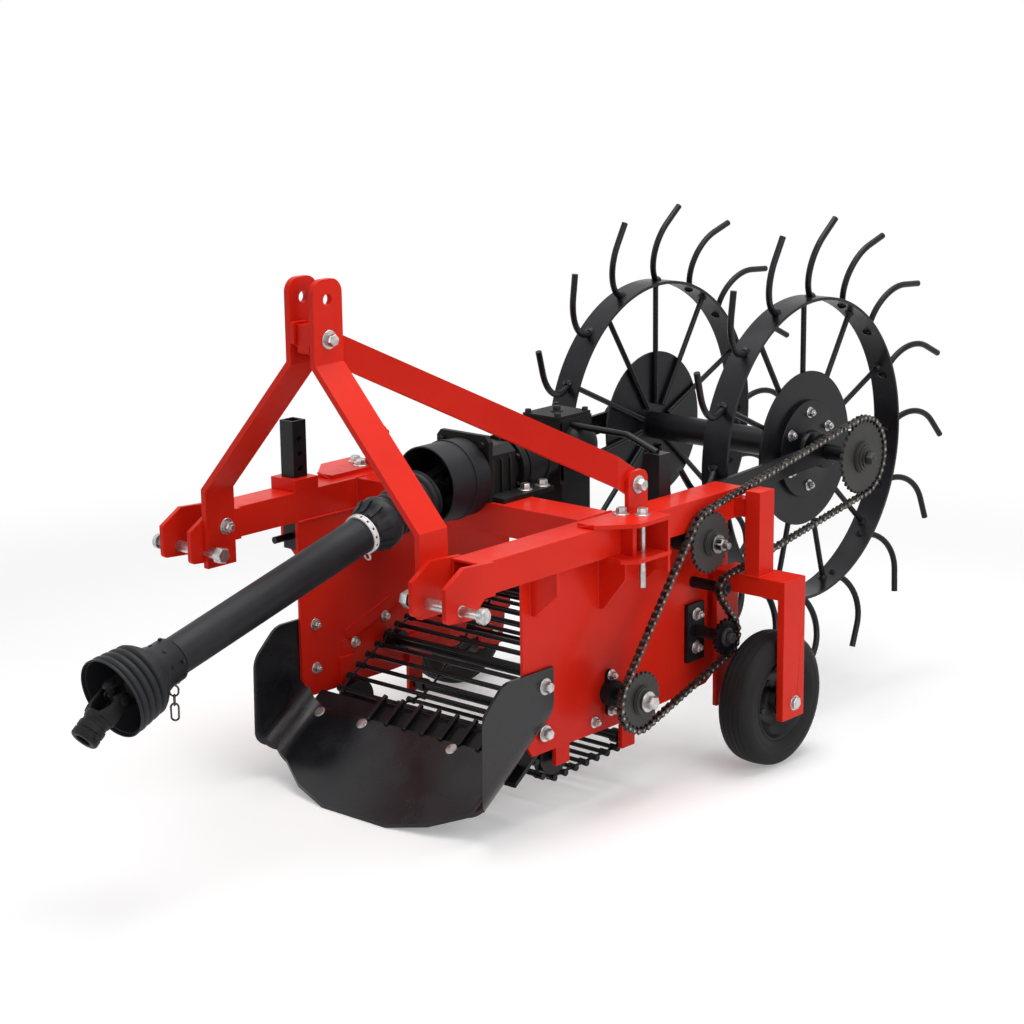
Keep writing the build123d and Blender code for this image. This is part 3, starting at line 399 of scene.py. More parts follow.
liners = Stock()
LINER_WIDE, LINER_THICK = 34, 3
LINER_RUNS = (((461, 172), (455, 292)), ((458, 300), (640, 362)))               # (y, z) of both ends
for x in (-SIDE_IN, SIDE_IN - LINER_THICK):
    for start, end in LINER_RUNS:
        start, end = Vector(start), Vector(end)
        along = (end - start).normalized()
        half = Vector((-along.y, along.x)) * LINER_WIDE / 2
        liners.prism(side_on(x), [start - half, end - half, end + half, start + half], LINER_THICK)
make("liner_strips", liners, red_coat, "frame", edge=0.8)


# --- Bolts, washers and nuts --------------------------------------------------------------------------
# Zinc-plated hexagon bolts with flat washers hold the share, mast, stays, clamps, bearings and
# gearbox. Heads have turned, chamfered faces and the nuts show a stub of thread.
def zinc_plate(name, dark, light):
    """Bright zinc with cloudy passivation."""
    material, tree, shader = new_material(name)
    cloud, grain = noise(tree, 60, 3), noise(tree, 900, 2)
    bump = node(tree, "ShaderNodeBump", {}, Strength=0.06, Distance=0.0003, Height=grain)
    feed(tree, shader, Base_Color=mix(tree, ramp(tree, cloud, 0.3, 0.7), dark, light), Metallic=0.9,
         Roughness=0.22 + 0.16 * cloud, Normal=bump)
    return material


zinc = zinc_plate("zinc_plate", (0.36, 0.36, 0.355), (0.62, 0.61, 0.595))
dress_slot("zinc_steel", zinc, 0.8)


def bolt(stock, point, axis, across=19, washer=True, stub=0.0, turn=None):
    """Hexagon head or nut on a washer, standing on a face; stub is the thread past a nut."""
    place = facing(point, axis, random.uniform(0, math.pi) if turn is None else turn)
    height, corner, base = across * 0.62, across / math.sqrt(3), 0.0
    if washer:
        base = across * 0.13
        stock.turned(place, [(0, across * 0.84), (base * 0.7, across * 0.84), (base, across * 0.8)], 28)
    stock.turned(place, [(base, corner), (base + height * 0.82, corner), (base + height, corner * 0.87)], 6)
    if stub:
        top = base + height
        thread = [(top - 1, across * 0.31), (top + stub, across * 0.31), (top + stub + 1.2, across * 0.25)]
        stock.turned(place, thread, 16)


def flat_head(stock, point, axis, radius=15):
    """Wide low head of a share bolt with a softened rim."""
    stock.turned(facing(point, axis), [(-2, radius), (1.2, radius), (2.4, radius * 0.94), (3, radius * 0.8)], 32)


hitch_bolts, share_bolts, frame_bolts = Stock(), Stock(), Stock()
MAST_FOOT_IN, MAST_HEAD_X, PIN_Z, PIN_IN, PIN_OUT = 337, 46, 613, 313, 516
LUG_IN, LUG_OUT, LUG_Y, LUG_Z = 406, 430, 650, 771
PIN_HEAD = [(0, 12), (1, 18.5), (13, 18.5), (16.5, 15), (16.6, 14)]             # (along, radius)
for side in (-1, 1):
    out, inward = (side, 0, 0), (-side, 0, 0)
    bolt(hitch_bolts, (side * MAST_FOOT_IN, 50, 669), inward, 24, stub=4)
    bolt(hitch_bolts, (side * PIN_IN, 0, PIN_Z), inward, 35, washer=False, turn=0.3)
    bolt(hitch_bolts, (side * MAST_HEAD_X, 33, 1156), out, 26, stub=0 if side > 0 else 8)
    bolt(hitch_bolts, (side * LUG_OUT, LUG_Y, LUG_Z), out, 26)
    bolt(hitch_bolts, (side * LUG_IN, LUG_Y, LUG_Z), inward, 26, stub=7)
    hitch_bolts.turned(facing((side * PIN_OUT, 0, PIN_Z), out, 0.4), PIN_HEAD, 12)
make("hitch_bolts", hitch_bolts, zinc, "frame")

SHARE_SLOPE, SHARE_TIP_Y, SHARE_THICK, SHARE_BOLT_Y = math.radians(35), 110, 8, 307
CHEEK_OUT = 377
CHEEK_BOLTS, CHEEK_NUTS = ((372, 335), (370, 222)), ((352, 355), (351, 241))    # (y, z)
SHARE_BOLTS = (-308, -160, 138, 300)                                            # x
share_up = (0, -math.sin(SHARE_SLOPE), math.cos(SHARE_SLOPE))


def share_top(x, y):
    """Point on the upper face of the share floor."""
    return (x, y, (y - SHARE_TIP_Y) * math.tan(SHARE_SLOPE) + SHARE_THICK / math.cos(SHARE_SLOPE))


for x in SHARE_BOLTS:
    flat_head(share_bolts, share_top(x, SHARE_BOLT_Y), share_up)
for side in (-1, 1):
    for y, z in CHEEK_BOLTS:
        bolt(share_bolts, (side * CHEEK_OUT, y, z), (side, 0, 0), 24)
    for y, z in CHEEK_NUTS:
        bolt(share_bolts, (side * SIDE_IN, y, z), (-side, 0, 0), 18, stub=4)
make("share_bolts", share_bolts, zinc, "frame")

UP, DOWN = (0, 0, 1), (0, 0, -1)
LINER_BOLTS, TENSION_BOLTS = ((487, 278), (598, 322)), ((945, 382), (944, 297)) # (y, z)
PLATE_NUTS = ((379, 612, 305), (379, 612, 217), (SIDE_OUT, 560, 198))           # (x, y, z) of bearing and hanger nuts
CLAMP_BOLTS, SHANK = ((426, 592), (469, 617)), (469, 617)                       # (x, y)
FOOT_BOLTS = ((91, 638), (95, 698), (-91, 638), (-95, 698))                     # (x, y)
TENSION_OUT, CLAMP_LOW, SHANK_LOW, SHANK_R, FOOT_TOP = 381, 615, 536, 8, 712
for side in (-1, 1):
    out = (side, 0, 0)
    for y, z in LINER_BOLTS:
        bolt(frame_bolts, (side * (SIDE_IN - LINER_THICK), y, z), (-side, 0, 0), 17)
    for y, z in TENSION_BOLTS:
        bolt(frame_bolts, (side * TENSION_OUT, y, z), out, 20, stub=5)
    for x, y, z in PLATE_NUTS:
        bolt(frame_bolts, (side * x, y, z), out, 17, stub=4)
    for x, y in CLAMP_BOLTS:
        bolt(frame_bolts, (side * x, y, BRACKET_TOP), UP, 22)
    x, y = SHANK
    bolt(frame_bolts, (side * x, y, CLAMP_LOW), DOWN, 22)
    frame_bolts.bar([(side * x, y, BRACKET_TOP + 2), (side * x, y, SHANK_LOW)], SHANK_R, 16)
for x, y in FOOT_BOLTS:
    bolt(frame_bolts, (x, y, FOOT_TOP), UP, 22)
make("frame_bolts", frame_bolts, zinc, "frame")


# --- Black painted steel ------------------------------------------------------------------------------
# Share, web, wheels, reel and posts carry a thin satin black paint over hot-rolled steel. The
# gearbox and yokes are rough castings and forgings under the same black.
def black_paint(name, colour, gloss, grain, scale=160.0, shine=0.16):
    """Black finish: cloudy gloss, faint brighter patches and a fine rolled or cast grain."""
    material, tree, shader = new_material(name)
    cloud, fine = noise(tree, 9, 4), noise(tree, scale, 3)
    bump = node(tree, "ShaderNodeBump", {}, Strength=grain, Distance=0.0008, Height=fine)
    worn = tuple(c * 1.6 + 0.001 for c in colour)
    feed(tree, shader, Base_Color=mix(tree, ramp(tree, cloud, 0.35, 0.72), colour, worn),
         Roughness=gloss + 0.14 * ramp(tree, cloud, 0.3, 0.7), Normal=bump, Specular_IOR_Level=shine)
    return material


satin_black = black_paint("satin_black_paint", (0.0050, 0.0052, 0.0068), 0.28, 0.04, 160.0, 0.22)
cast_black = black_paint("black_casting", (0.0085, 0.0085, 0.009), 0.42, 0.4)
guard_black = black_paint("black_guard_plastic", (0.0085, 0.009, 0.0115), 0.40, 0.05, 160.0, 0.22)
tyre_black = black_paint("tyre_rubber", (0.011, 0.011, 0.0115), 0.56, 0.3, 240.0)
share_black = black_paint("worn_share_paint", (0.0055, 0.0056, 0.0075), 0.19, 0.004, 12.0, 0.38)
pale_band = black_paint("pale_band", (0.60, 0.60, 0.60), 0.5, 0.05)
for slot, finish in (("black_paint", satin_black), ("black_casting", cast_black), ("black_plastic", guard_black),
                     ("tyre_rubber", tyre_black), ("pale_plastic", pale_band)):
    dress_slot(slot, finish, 0.8)
for place in nodes["share"].material_slots:
    place.material = share_black


# --- Elevator web -------------------------------------------------------------------------------------
# Round black rods cross between two endless link chains; each rod end is hooked round the next one
# in a row of eyes. The web runs over rollers at the share, the lower shaft and the rear shaft.
ROD_R, ROD_END, ROD_PITCH, LINK_R = 5.5, 334, 40, 3.6
ROD_OFF_PULLEY, LEFT = 10.5, (1, 0, 0)
EYE, HOOK = [(0, 7.5), (1, 8.6), (7, 8.6), (8, 7.5)], [(0, 7), (1, 8), (8, 8), (9, 7)]     # (along, radius)
WEB_PULLEYS = ((452, 142, 52), (612, 261, 27), (945, 340, 42), (700, 118, 18))


def beside(centre, reach, heading):
    """Point to the left of a heading, seen from the machine's left side."""
    return centre[0] - reach * math.sin(heading), centre[1] + reach * math.cos(heading)


def belt_places(pulleys, offset, pitch):
    """Even (y, z, heading) places along a belt round pulleys of (y, z, reach); reach is negative outside it."""
    leave, runs = [], []
    for (y0, z0, r0), (y1, z1, r1) in zip(pulleys, pulleys[1:] + pulleys[:1]):
        leave.append(math.atan2(z1 - z0, y1 - y0) - math.asin((r0 - r1) / math.hypot(y1 - y0, z1 - z0)))
    for i, (y, z, r) in enumerate(pulleys):
        start, end = leave[i - 1], leave[i]
        turn = (start - end) % (2 * math.pi) if r > 0 else -((end - start) % (2 * math.pi))
        following = pulleys[(i + 1) % len(pulleys)]
        off, on = beside((y, z), r, end), beside(following[:2], following[2], end)
        runs.append((abs(r * turn), (y, z), r, start, turn))
        runs.append((math.dist(off, on), off, None, end, 0))
    length = sum(run[0] for run in runs)
    count = round(length / pitch)
    places = []
    for number in range(count):
        along = length * number / count
        for size, origin, reach, heading, turn in runs:
            if along < size:
                break
            along -= size
        if reach is None:
            base = (origin[0] + along * math.cos(heading), origin[1] + along * math.sin(heading))
            places.append((*beside(base, offset, heading), heading))
        else:
            now = heading - turn * along / size
            places.append((*beside(origin, reach + offset, now), now))
    return places


web = Stock()
rod_places = belt_places(WEB_PULLEYS, ROD_OFF_PULLEY, ROD_PITCH)
for (y, z, heading), (next_y, next_z, _) in zip(rod_places, rod_places[1:] + rod_places[:1]):
    web.bar([(-ROD_END + 6, y, z), (ROD_END - 6, y, z)], ROD_R, 12)
    for side in (-1, 1):
        outer, link, inner = side * (ROD_END - 2), side * (ROD_END - 11), side * (ROD_END - 20)
        for x in (outer, inner):
            web.turned(facing((x - 4, y, z), LEFT), EYE, 14)
        web.bar([(link, y, z), (link, next_y, next_z)], LINK_R, 8)
        web.turned(facing((link - 4.5, next_y, next_z), LEFT), HOOK, 14)
make("web_rods", web, satin_black, "frame", ("elevator_web",))

fingers = Stock()
FINGERS, FINGER_PITCH, FINGER_FRONT, FINGER_REAR, FINGER_R = 7, 60, 318, 384, 6.5
for i in range(FINGERS):
    x = FINGER_PITCH * (i - 2.5)
    fingers.bar([share_top(x, FINGER_FRONT), share_top(x, FINGER_REAR)], FINGER_R, 12)
make("share_fingers", fingers, satin_black, "frame")


# --- Side chain and sprockets -------------------------------------------------------------------------
# Roller chain of oiled steel: figure-of-eight plates, pins with riveted ends and turned rollers. The
# sprockets are flame-cut plate with turned hubs, held by nuts and washers.
CHAIN_X, CHAIN_PITCH = 468, 19.05
LINK_HALF, WAIST_HALF, LINK_THICK = 7.7, 4.2, 2.2
OUTER_PLATE, INNER_PLATE = 5.9, 3.7       # inner faces of the plates, from the chain's middle plane
ROLLER_HALF, RIVET_HALF = 3.6, 9
ROLLER = [(0, 5.9), (2 * ROLLER_HALF, 5.9)]                                     # (along, radius)
RIVET = [(0, 2.2), (0.8, 3.3), (2 * RIVET_HALF - 0.8, 3.3), (2 * RIVET_HALF, 2.2)]


def bare_steel(name, dark, light, gloss):
    """Oiled or ground steel, cloudy and half metallic."""
    material, tree, shader = new_material(name)
    cloud, fine = noise(tree, 70, 4), noise(tree, 600, 2)
    bump = node(tree, "ShaderNodeBump", {}, Strength=0.1, Distance=0.0004, Height=fine)
    feed(tree, shader, Base_Color=mix(tree, ramp(tree, cloud, 0.35, 0.65), dark, light), Metallic=0.8,
         Roughness=gloss + 0.15 * cloud, Normal=bump)
    return material


oiled_steel = bare_steel("oiled_chain_steel", (0.030, 0.026, 0.023), (0.095, 0.086, 0.078), 0.3)
rivet_steel = bare_steel("worn_roller_steel", (0.20, 0.19, 0.18), (0.34, 0.33, 0.31), 0.24)
sprocket_grey = black_paint("oiled_sprocket_plate", (0.022, 0.021, 0.020), 0.46, 0.2, 220.0, 0.4)
dress_slot("chain_steel", sprocket_grey, 0.8)


def pitch_radius(teeth):
    """Radius on which the chain's pins run round a sprocket."""
    return CHAIN_PITCH / (2 * math.sin(math.pi / teeth))


def link_plate(length):
    """Outline of a chain side plate, round ends and a waist."""
    points = []
    for centre, start in ((length, -70), (0, 110)):
        points += [(centre + LINK_HALF * math.cos(math.radians(start + 20 * k)),
                    LINK_HALF * math.sin(math.radians(start + 20 * k))) for k in range(8)]
        points.append((length / 2, WAIST_HALF if centre else -WAIST_HALF))
    return points


LOWER, MIDDLE, REEL, IDLER, DRIVE = (612, 261), (881, 591), (1540, 690), (945, 463), (945, 340)
chain_pulleys = ((*LOWER, pitch_radius(25)), (*MIDDLE, pitch_radius(27)), (*REEL, pitch_radius(34)),
                 (*IDLER, -pitch_radius(9)), (*DRIVE, pitch_radius(17)))
chain, rivets = Stock(), Stock()
chain_places = belt_places(chain_pulleys, 0, CHAIN_PITCH)
for i, (y, z, _) in enumerate(chain_places):
    next_y, next_z, _ = chain_places[(i + 1) % len(chain_places)]
    angle, length = math.atan2(next_z - z, next_y - y), math.hypot(next_y - y, next_z - z)
    gap = OUTER_PLATE if i % 2 else INNER_PLATE
    for start in (-gap - LINK_THICK, gap):
        chain.prism(side_on(CHAIN_X, y, z) @ Matrix.Rotation(angle, 4, "Z"), link_plate(length), LINK_THICK, start)
    chain.turned(side_on(CHAIN_X - ROLLER_HALF, y, z), ROLLER, 12)
    rivets.turned(side_on(CHAIN_X - RIVET_HALF, y, z), RIVET, 10)
make("roller_chain", chain, oiled_steel, "frame", ("side_chain",))
make("chain_rivets", rivets, rivet_steel, "frame")


def hub(name, place, body, profile, nut_at, across, end, finish):
    """Turned hub rings in front of a sprocket with the nut and shaft end that hold it."""
    rings, nut = Stock(), Stock()
    rings.turned(side_on(0, *place), profile, 40)
    bolt(nut, (nut_at, *place), LEFT, across, stub=end - nut_at - across * 0.75, turn=0.3)
    make(name + "_hub_rings", rings, sprocket_grey, body)
    make(name + "_nut", nut, finish, body)


shaft_grey = bare_steel("ground_shaft_end", (0.14, 0.135, 0.13), (0.30, 0.29, 0.28), 0.28)
hub("lower", LOWER, "frame", [(472, 36), (478, 36), (480, 31), (484, 31), (485, 24), (490, 24)], 490, 30, 505, zinc)
hub("middle", MIDDLE, "drop_shaft", [(472, 32), (479, 32), (481, 27), (487, 27), (488, 21), (493, 21)], 493, 28, 526,
    shaft_grey)
hub("reel", REEL, "reel", [(472, 42), (478, 42), (480, 34), (486, 34), (487, 27), (491, 27)], 486, 30, 508,
    sprocket_grey)
hub("web_drive", DRIVE, "frame", [(472, 24), (478, 24), (479, 19), (482, 19)], 478, 24, 492, sprocket_grey)


# --- Gauge wheels -------------------------------------------------------------------------------------
# Moulded rubber tyre with shallow ribs and rounded shoulders on a pressed, dished steel rim with a
# rolled bead seat and four bolts, turning on a plain hub.
TYRE_X, WHEEL_Y, WHEEL_Z = 530, 1052, 170
VALVE = ((80, 12, 14), (74, 14, 30))      # both ends of the valve stem
tyre_half = [(0, 168.6), (6, 168.6), (7, 167), (9, 167), (10, 168.4), (20, 167.6), (21, 166), (23, 166), (24, 167.2),
             (32, 165.4), (38, 162), (43, 156), (46.5, 148), (48, 140), (48, 136), (47, 134), (47.6, 128), (46, 118),
             (42.6, 110), (38, 104.5), (36, 99.5), (33, 97), (28, 96)]
tyre_profile = tyre_half + [(-x, r) for x, r in tyre_half[:0:-1]]
rim_profile = [(-36, 102), (-38, 99), (-34, 95), (-22, 92), (-12, 80), (-12, 27), (-34, 27), (-34, 12.6), (34, 12.6),
               (34, 25), (32, 27), (14, 27), (8, 34), (3, 44), (1, 58), (8, 68), (16, 74), (22, 86), (31, 92), (36, 95),
               (40, 98.5), (38, 102.5), (35, 101), (33, 97), (20, 95), (0, 93), (-20, 95), (-33, 97)]
for side, suffix in ((1, "_left"), (-1, "_right")):
    place = side_on(side * TYRE_X, WHEEL_Y, WHEEL_Z)
    if side < 0:
        place = place @ Matrix.Rotation(math.pi, 4, "X")
    tyre, rim, studs = Stock(), Stock(), Stock()
    tyre.turned(place, tyre_profile, 72, closed=True)
    rim.turned(place, rim_profile, 56, closed=True)
    for k in range(4):
        spot = place @ Matrix.Rotation(math.pi / 2 * k + 0.5, 4, "Z") @ Vector((50, 0, 2))
        bolt(studs, spot, (side, 0, 0), 15)
    studs.bar([place @ Vector(end) for end in VALVE], 3.4, 10)
    body = body_of["tyre" + suffix]
    make("ribbed_tyre" + suffix, tyre, tyre_black, body, ("tyre" + suffix,), sharp=50)
    make("dished_rim" + suffix, rim, satin_black, body, ("wheel_rim" + suffix,), sharp=50)
    make("rim_bolts" + suffix, studs, sprocket_grey, body)

FORK_IN, FORK_OUT, WHEEL_IN, WHEEL_OUT = 390, 604, 495.7, 564.3
axles = Stock()
for side in (-1, 1):
    place = facing((0, WHEEL_Y, WHEEL_Z), (side, 0, 0))
    axles.turned(place, [(FORK_IN - 6, 12), (FORK_OUT + 1, 12)], 32)
    axles.turned(place, [(FORK_IN + 12, 18), (WHEEL_IN, 18)], 32)
    axles.turned(place, [(WHEEL_OUT, 18), (FORK_OUT - 20, 18)], 32)
    axles.turned(place, [(FORK_OUT, 19), (FORK_OUT + 1.8, 19), (FORK_OUT + 2.4, 18.4)], 32)
    head = place @ Matrix.Rotation(0.2, 4, "Z")
    axles.turned(head, [(FORK_OUT + 2.4, 16.6), (FORK_OUT + 8.4, 16.6), (FORK_OUT + 9.8, 14.6)], 6)
make("axle_bolts", axles, zinc, "frame", ("wheel_axles",))


# --- Tined reel ---------------------------------------------------------------------------------------
# Two rolled flat-bar rings, each with round spring tines welded through the band and round spokes
# welded to a plate disc. A smaller bolted flange and hub hold each disc on the reel tube.
REEL_R, RING_HALF, RING_THICK, TINES, SPOKES = 404, 39, 8, 16, 11
TINE_ROOT, TINE_KNEE, TINE_TIP = (0, 0, REEL_R - 5), (35, -90, 490), (46, 35, 608.8)
TINE_R, TINE_BEND, SPOKE_R, SPOKE_FROM, FLANGE_BOLT_R = 8.4, 110, 7.5, 62, 98
TINE_WELD, INNER_WELD = [(0, 15), (2, 14.2), (5, 11.5), (9, 9)], [(0, 13), (2.5, 12), (5, 8), (5.6, 3)]
SPOKE_WELD, DISC = [(0, 13), (3, 12), (7, 8.5), (9, 7.6)], [(-3, 205), (-2, 206), (2, 206), (3, 205)]
FLANGE = [(3, 130), (14, 130), (15, 129), (15.2, 60), (17, 52), (26, 50), (30, 47), (30, 39)]
RING_IN = REEL_R - RING_THICK
BAND = [(-RING_HALF, REEL_R - 1), (1 - RING_HALF, REEL_R), (RING_HALF - 1, REEL_R), (RING_HALF, REEL_R - 1),
        (RING_HALF, RING_IN + 1), (RING_HALF - 1, RING_IN), (1 - RING_HALF, RING_IN), (-RING_HALF, RING_IN + 1)]
tine_path = bend([TINE_ROOT, TINE_KNEE, TINE_TIP], TINE_BEND, 14)


def swung(point, turn):
    """Point turned about the reel's axis, from (sideways, along the ring, out) at the top."""
    return Matrix.Rotation(turn, 3, "X") @ Vector(point)


for suffix, plane, outward in (("_left", 290, 1), ("_right", -220, -1)):
    centre = Vector((plane, *REEL))
    band, wheel, studs = Stock(), Stock(), Stock()
    band.turned(side_on(*centre), BAND, 128, closed=True)
    for number in range(TINES):
        turn = 2 * math.pi * number / TINES + math.radians(-2)
        band.bar([centre + swung(point, turn) for point in tine_path], TINE_R, 14)
        root = centre + swung((0, 0, REEL_R - 1), turn)
        lean = swung(tine_path[1] - Vector(TINE_ROOT), turn)
        band.turned(facing(root, lean), TINE_WELD, 16)
        inner = centre + swung((0, 0, RING_IN + 1), turn)
        band.turned(facing(inner, -lean), INNER_WELD, 14)
    wheel.turned(side_on(*centre), DISC, 96)
    wheel.turned(facing(centre, (outward, 0, 0)), FLANGE, 72)
    for number in range(SPOKES):
        turn = 2 * math.pi * number / SPOKES
        offset = -outward * (2 + SPOKE_R)
        wheel.bar([centre + swung((offset, 0, r), turn) for r in (SPOKE_FROM, RING_IN + 1)], SPOKE_R, 14)
        foot = centre + swung((offset, 0, RING_IN), turn)
        wheel.turned(facing(foot, -swung(UP, turn)), SPOKE_WELD, 14)
    for number in range(6):
        spot = swung((outward * 15, 0, FLANGE_BOLT_R), math.radians(60 * number)) + centre
        bolt(studs, spot, (outward, 0, 0), 18, stub=3)
    make("tined_band" + suffix, band, satin_black, "reel", ("tined_ring" + suffix,))
    make("spoked_disc" + suffix, wheel, satin_black, "reel", ("reel_disc" + suffix,))
    make("reel_flange_bolts" + suffix, studs, zinc, "reel")


# --- Bevel gearbox and shaft guard --------------------------------------------------------------------
# Cast iron box with a bolted top cover and plug, domed side caps, a flanged input housing with ribs
# and a foot on the cross beam. A thin moulded guard drum covers the input joint.
gear_bolts, castings = Stock(), Stock()
CASE_Y, CASE_Z, COVER_TOP, INPUT_Z = 866, 778, 860, 755
AHEAD, BEHIND, SMALL_HEAD, PLUG_HEAD = (0, -1, 0), (0, 1, 0), 14, 19           # heads' widths across flats
SIDE_CAP = [(-24, 60), (-16, 60), (-15, 57), (-6, 56), (2, 52), (10, 42), (15, 28), (17, 12)]
CAP_STUD, CAP_STUD_R, SLEEVE_RIB = [(-8, 4.5), (3, 4.5), (4, 3.5)], 53, [(0, 62), (1, 65), (7, 65), (8, 62)]
CASE_RIB = [(806, 700), (818, 700), (812, 845), (806, 845)]                     # (y, z)
INPUT_FLANGE = [(-84, 700), (84, 700), (84, 848), (72, 862), (-72, 862), (-84, 848)]        # (x, z)
INPUT_HOUSING = [(-62, 712), (62, 712), (62, 806), (40, 824), (-40, 824), (-62, 806)]
HOUSING_RIB = ((60, 712), (67, 712), (67, 790), (60, 802))
FLANGE_FRONT, FLANGE_REAR, HOUSING_LONG, RIB_THICK = 515, 529, 108, 7
BEARING_BOLT_Y, BEARING_BOLT_R = 648, 70
FACING_REAR = Matrix(((1, 0, 0, 0), (0, 0, 1, 0), (0, 1, 0, 0), (0, 0, 0, 1)))      # plates normal to Y
for x in (-48, 48):
    for y in (812, 919):
        bolt(gear_bolts, (x, y, COVER_TOP), UP, SMALL_HEAD, washer=False)
bolt(gear_bolts, (0, CASE_Y, COVER_TOP), UP, PLUG_HEAD)
for k in range(6):
    angle = math.radians(60 * k + 30)
    spot = (BEARING_BOLT_R * math.cos(angle), BEARING_BOLT_Y, INPUT_Z + BEARING_BOLT_R * math.sin(angle))
    bolt(gear_bolts, spot, AHEAD, SMALL_HEAD, washer=False)
for side in (-1, 1):
    out = (side, 0, 0)
    castings.turned(facing((side * 88, CASE_Y, CASE_Z), out), SIDE_CAP, 48)
    for k in range(6):
        face = facing((side * 70, CASE_Y, CASE_Z), out) @ Matrix.Rotation(k * math.pi / 3, 4, "Z")
        castings.turned(facing(face @ Vector((CAP_STUD_R, 0, -2)), out), CAP_STUD, 10)
    castings.prism(side_on(side * 62 - (6 if side > 0 else 0)), CASE_RIB, 6)
for y in (690, 760):
    castings.turned(facing((0, y, INPUT_Z), BEHIND), SLEEVE_RIB, 48)
castings.prism(FACING_REAR, INPUT_FLANGE, FLANGE_REAR - FLANGE_FRONT, FLANGE_FRONT)
castings.prism(FACING_REAR, INPUT_HOUSING, HOUSING_LONG, FLANGE_REAR)
for side in (-1, 1):
    for y in (548, 580, 612):
        castings.prism(FACING_REAR, [(side * x, z) for x, z in HOUSING_RIB], RIB_THICK, y)
    for z in (722, 840):
        bolt(gear_bolts, (side * 66, FLANGE_FRONT, z), AHEAD, SMALL_HEAD, washer=False)
        bolt(gear_bolts, (side * 72, FLANGE_REAR, z), BEHIND, SMALL_HEAD, washer=False)
make("gearbox_bolts", gear_bolts, cast_black, "frame")
make("gearbox_ribs_and_caps", castings, cast_black, "frame")


# --- Driveline ----------------------------------------------------------------------------------------
# Telescopic cardan shaft inside moulded black guard tubes, with a ribbed cone over each joint. The
# yokes are black forgings on a needle-bearing cross, and a blank pale collar holds the rear cone.
SLOPE, DROOP = math.radians(15.4), math.radians(40)
JOINT_REAR, JOINT_FRONT = (0, 440, 755), 1060


def sloped(origin, fall, along=0.0):
    """Placement with Z running forward and down by an angle, X to the left."""
    ahead = Vector((0, -math.cos(fall), -math.sin(fall)))
    up = ahead.cross(Vector(LEFT))
    spot = Vector(origin) + ahead * along
    return Matrix(((1, up.x, ahead.x, spot.x), (0, up.y, ahead.y, spot.y), (0, up.z, ahead.z, spot.z), (0, 0, 0, 1)))


def on_drive(along):
    """Placement on the driveline's axis, so far ahead of its rear joint."""
    return sloped(JOINT_REAR, SLOPE, along)


def rounded_ribs(start, pitch, count, base, grow, high):
    """Outside of moulded ribs as (along, radius) points."""
    return [(start + pitch * (k + part), base + grow * k + high * lift) for k in range(count)
            for part, lift in ((0.06, 0), (0.16, 0.62), (0.32, 0.95), (0.5, 1), (0.68, 0.9), (0.84, 0.5), (0.94, 0))]


def round_drive(k, count, start=0.0):
    """Placement on the driveline's axis, turned to one of so many even places round it."""
    return on_drive(0) @ Matrix.Rotation(2 * math.pi * k / count + start, 4, "Z")


rear_cone, front_cone = Stock(), Stock()
REAR_CONE = [(72, 61), (72, 64)] + rounded_ribs(76, 20, 6, 61, -2.2, 4.4) + [
    (198, 54), (206, 56), (212, 62), (218, 64), (236, 63), (246, 57), (262, 50), (274, 49), (275, 48), (275, 44.6),
    (240, 44.6), (236, 45.5), (200, 46)]                                        # (along, radius)
REAR_LUG, LUGS, LUG_WIDE = [(46, 236), (66, 236), (66, 240), (56, 258), (53, 272), (46, 272)], 12, 11
rear_cone.turned(on_drive(0), REAR_CONE, 64, closed=True)
for k in range(LUGS):
    rear_cone.prism(round_drive(k, LUGS) @ FACING_REAR, REAR_LUG, LUG_WIDE, -LUG_WIDE / 2)
make("rear_ribbed_cone", rear_cone, guard_black, body_of["rear_cone"], ("rear_cone",), sharp=45)

FRONT_CONE = [(892, 44.6), (892, 49), (894, 51), (934, 52), (938, 54.5), (941, 55), (950, 58), (958, 63), (968, 72),
              (976, 78.5)] + rounded_ribs(979, 20.5, 4, 79, 2.5, 5.4) + [
    (1062, 89.5), (1063, 92.4), (1068, 93), (1069, 92.4), (1069, 89.8), (1064, 88.4), (1000, 77), (984, 73),
    (960, 52), (940, 47), (936, 44.6)]
front_cone.turned(on_drive(0), FRONT_CONE, 72, closed=True)
for k in range(8):
    place = round_drive(k, 8, 0.2)
    if k % 2:
        front_cone.turned(place @ facing((50.5, 0, 925), LEFT), [(-1, 4.6), (2.6, 4.6), (3.4, 3.6)], 12)
    else:
        front_cone.prism(place, [(50, -4), (54.6, -4), (54.6, 4), (50, 4)], 6, 898)
        front_cone.prism(place, [(50, -4), (53.6, -4), (53.6, 4), (50, 4)], 4, 928)
make("front_ribbed_cone", front_cone, guard_black, body_of["front_cone"], ("front_cone",), sharp=45)

collar, slots = Stock(), Stock()
COLLAR = [(277, 44.4), (277, 48), (278, 48.6), (281, 48.6), (282, 47.4), (287, 47.4), (288, 48.6), (291, 48.6),
          (292, 48), (292, 44.4)]
SLOT, SLOTS = [(46, -2.6), (47.9, -2.6), (47.9, 2.6), (46, 2.6)], 14
collar.turned(on_drive(0), COLLAR, 48, closed=True)
for k in range(SLOTS):
    slots.prism(round_drive(k, SLOTS), SLOT, 4.4, 282.3)
make("collar_slots", slots, guard_black, body_of["guard_collar"])
collar.bar([on_drive(284) @ Vector((9 * math.cos(a), -58 + 9 * math.sin(a), 0))
            for a in (2 * math.pi * k / 16 for k in range(16))], 2.2, 8, closed=True)
make("pale_collar_band", collar, pale_band, body_of["guard_collar"], ("guard_collar",))

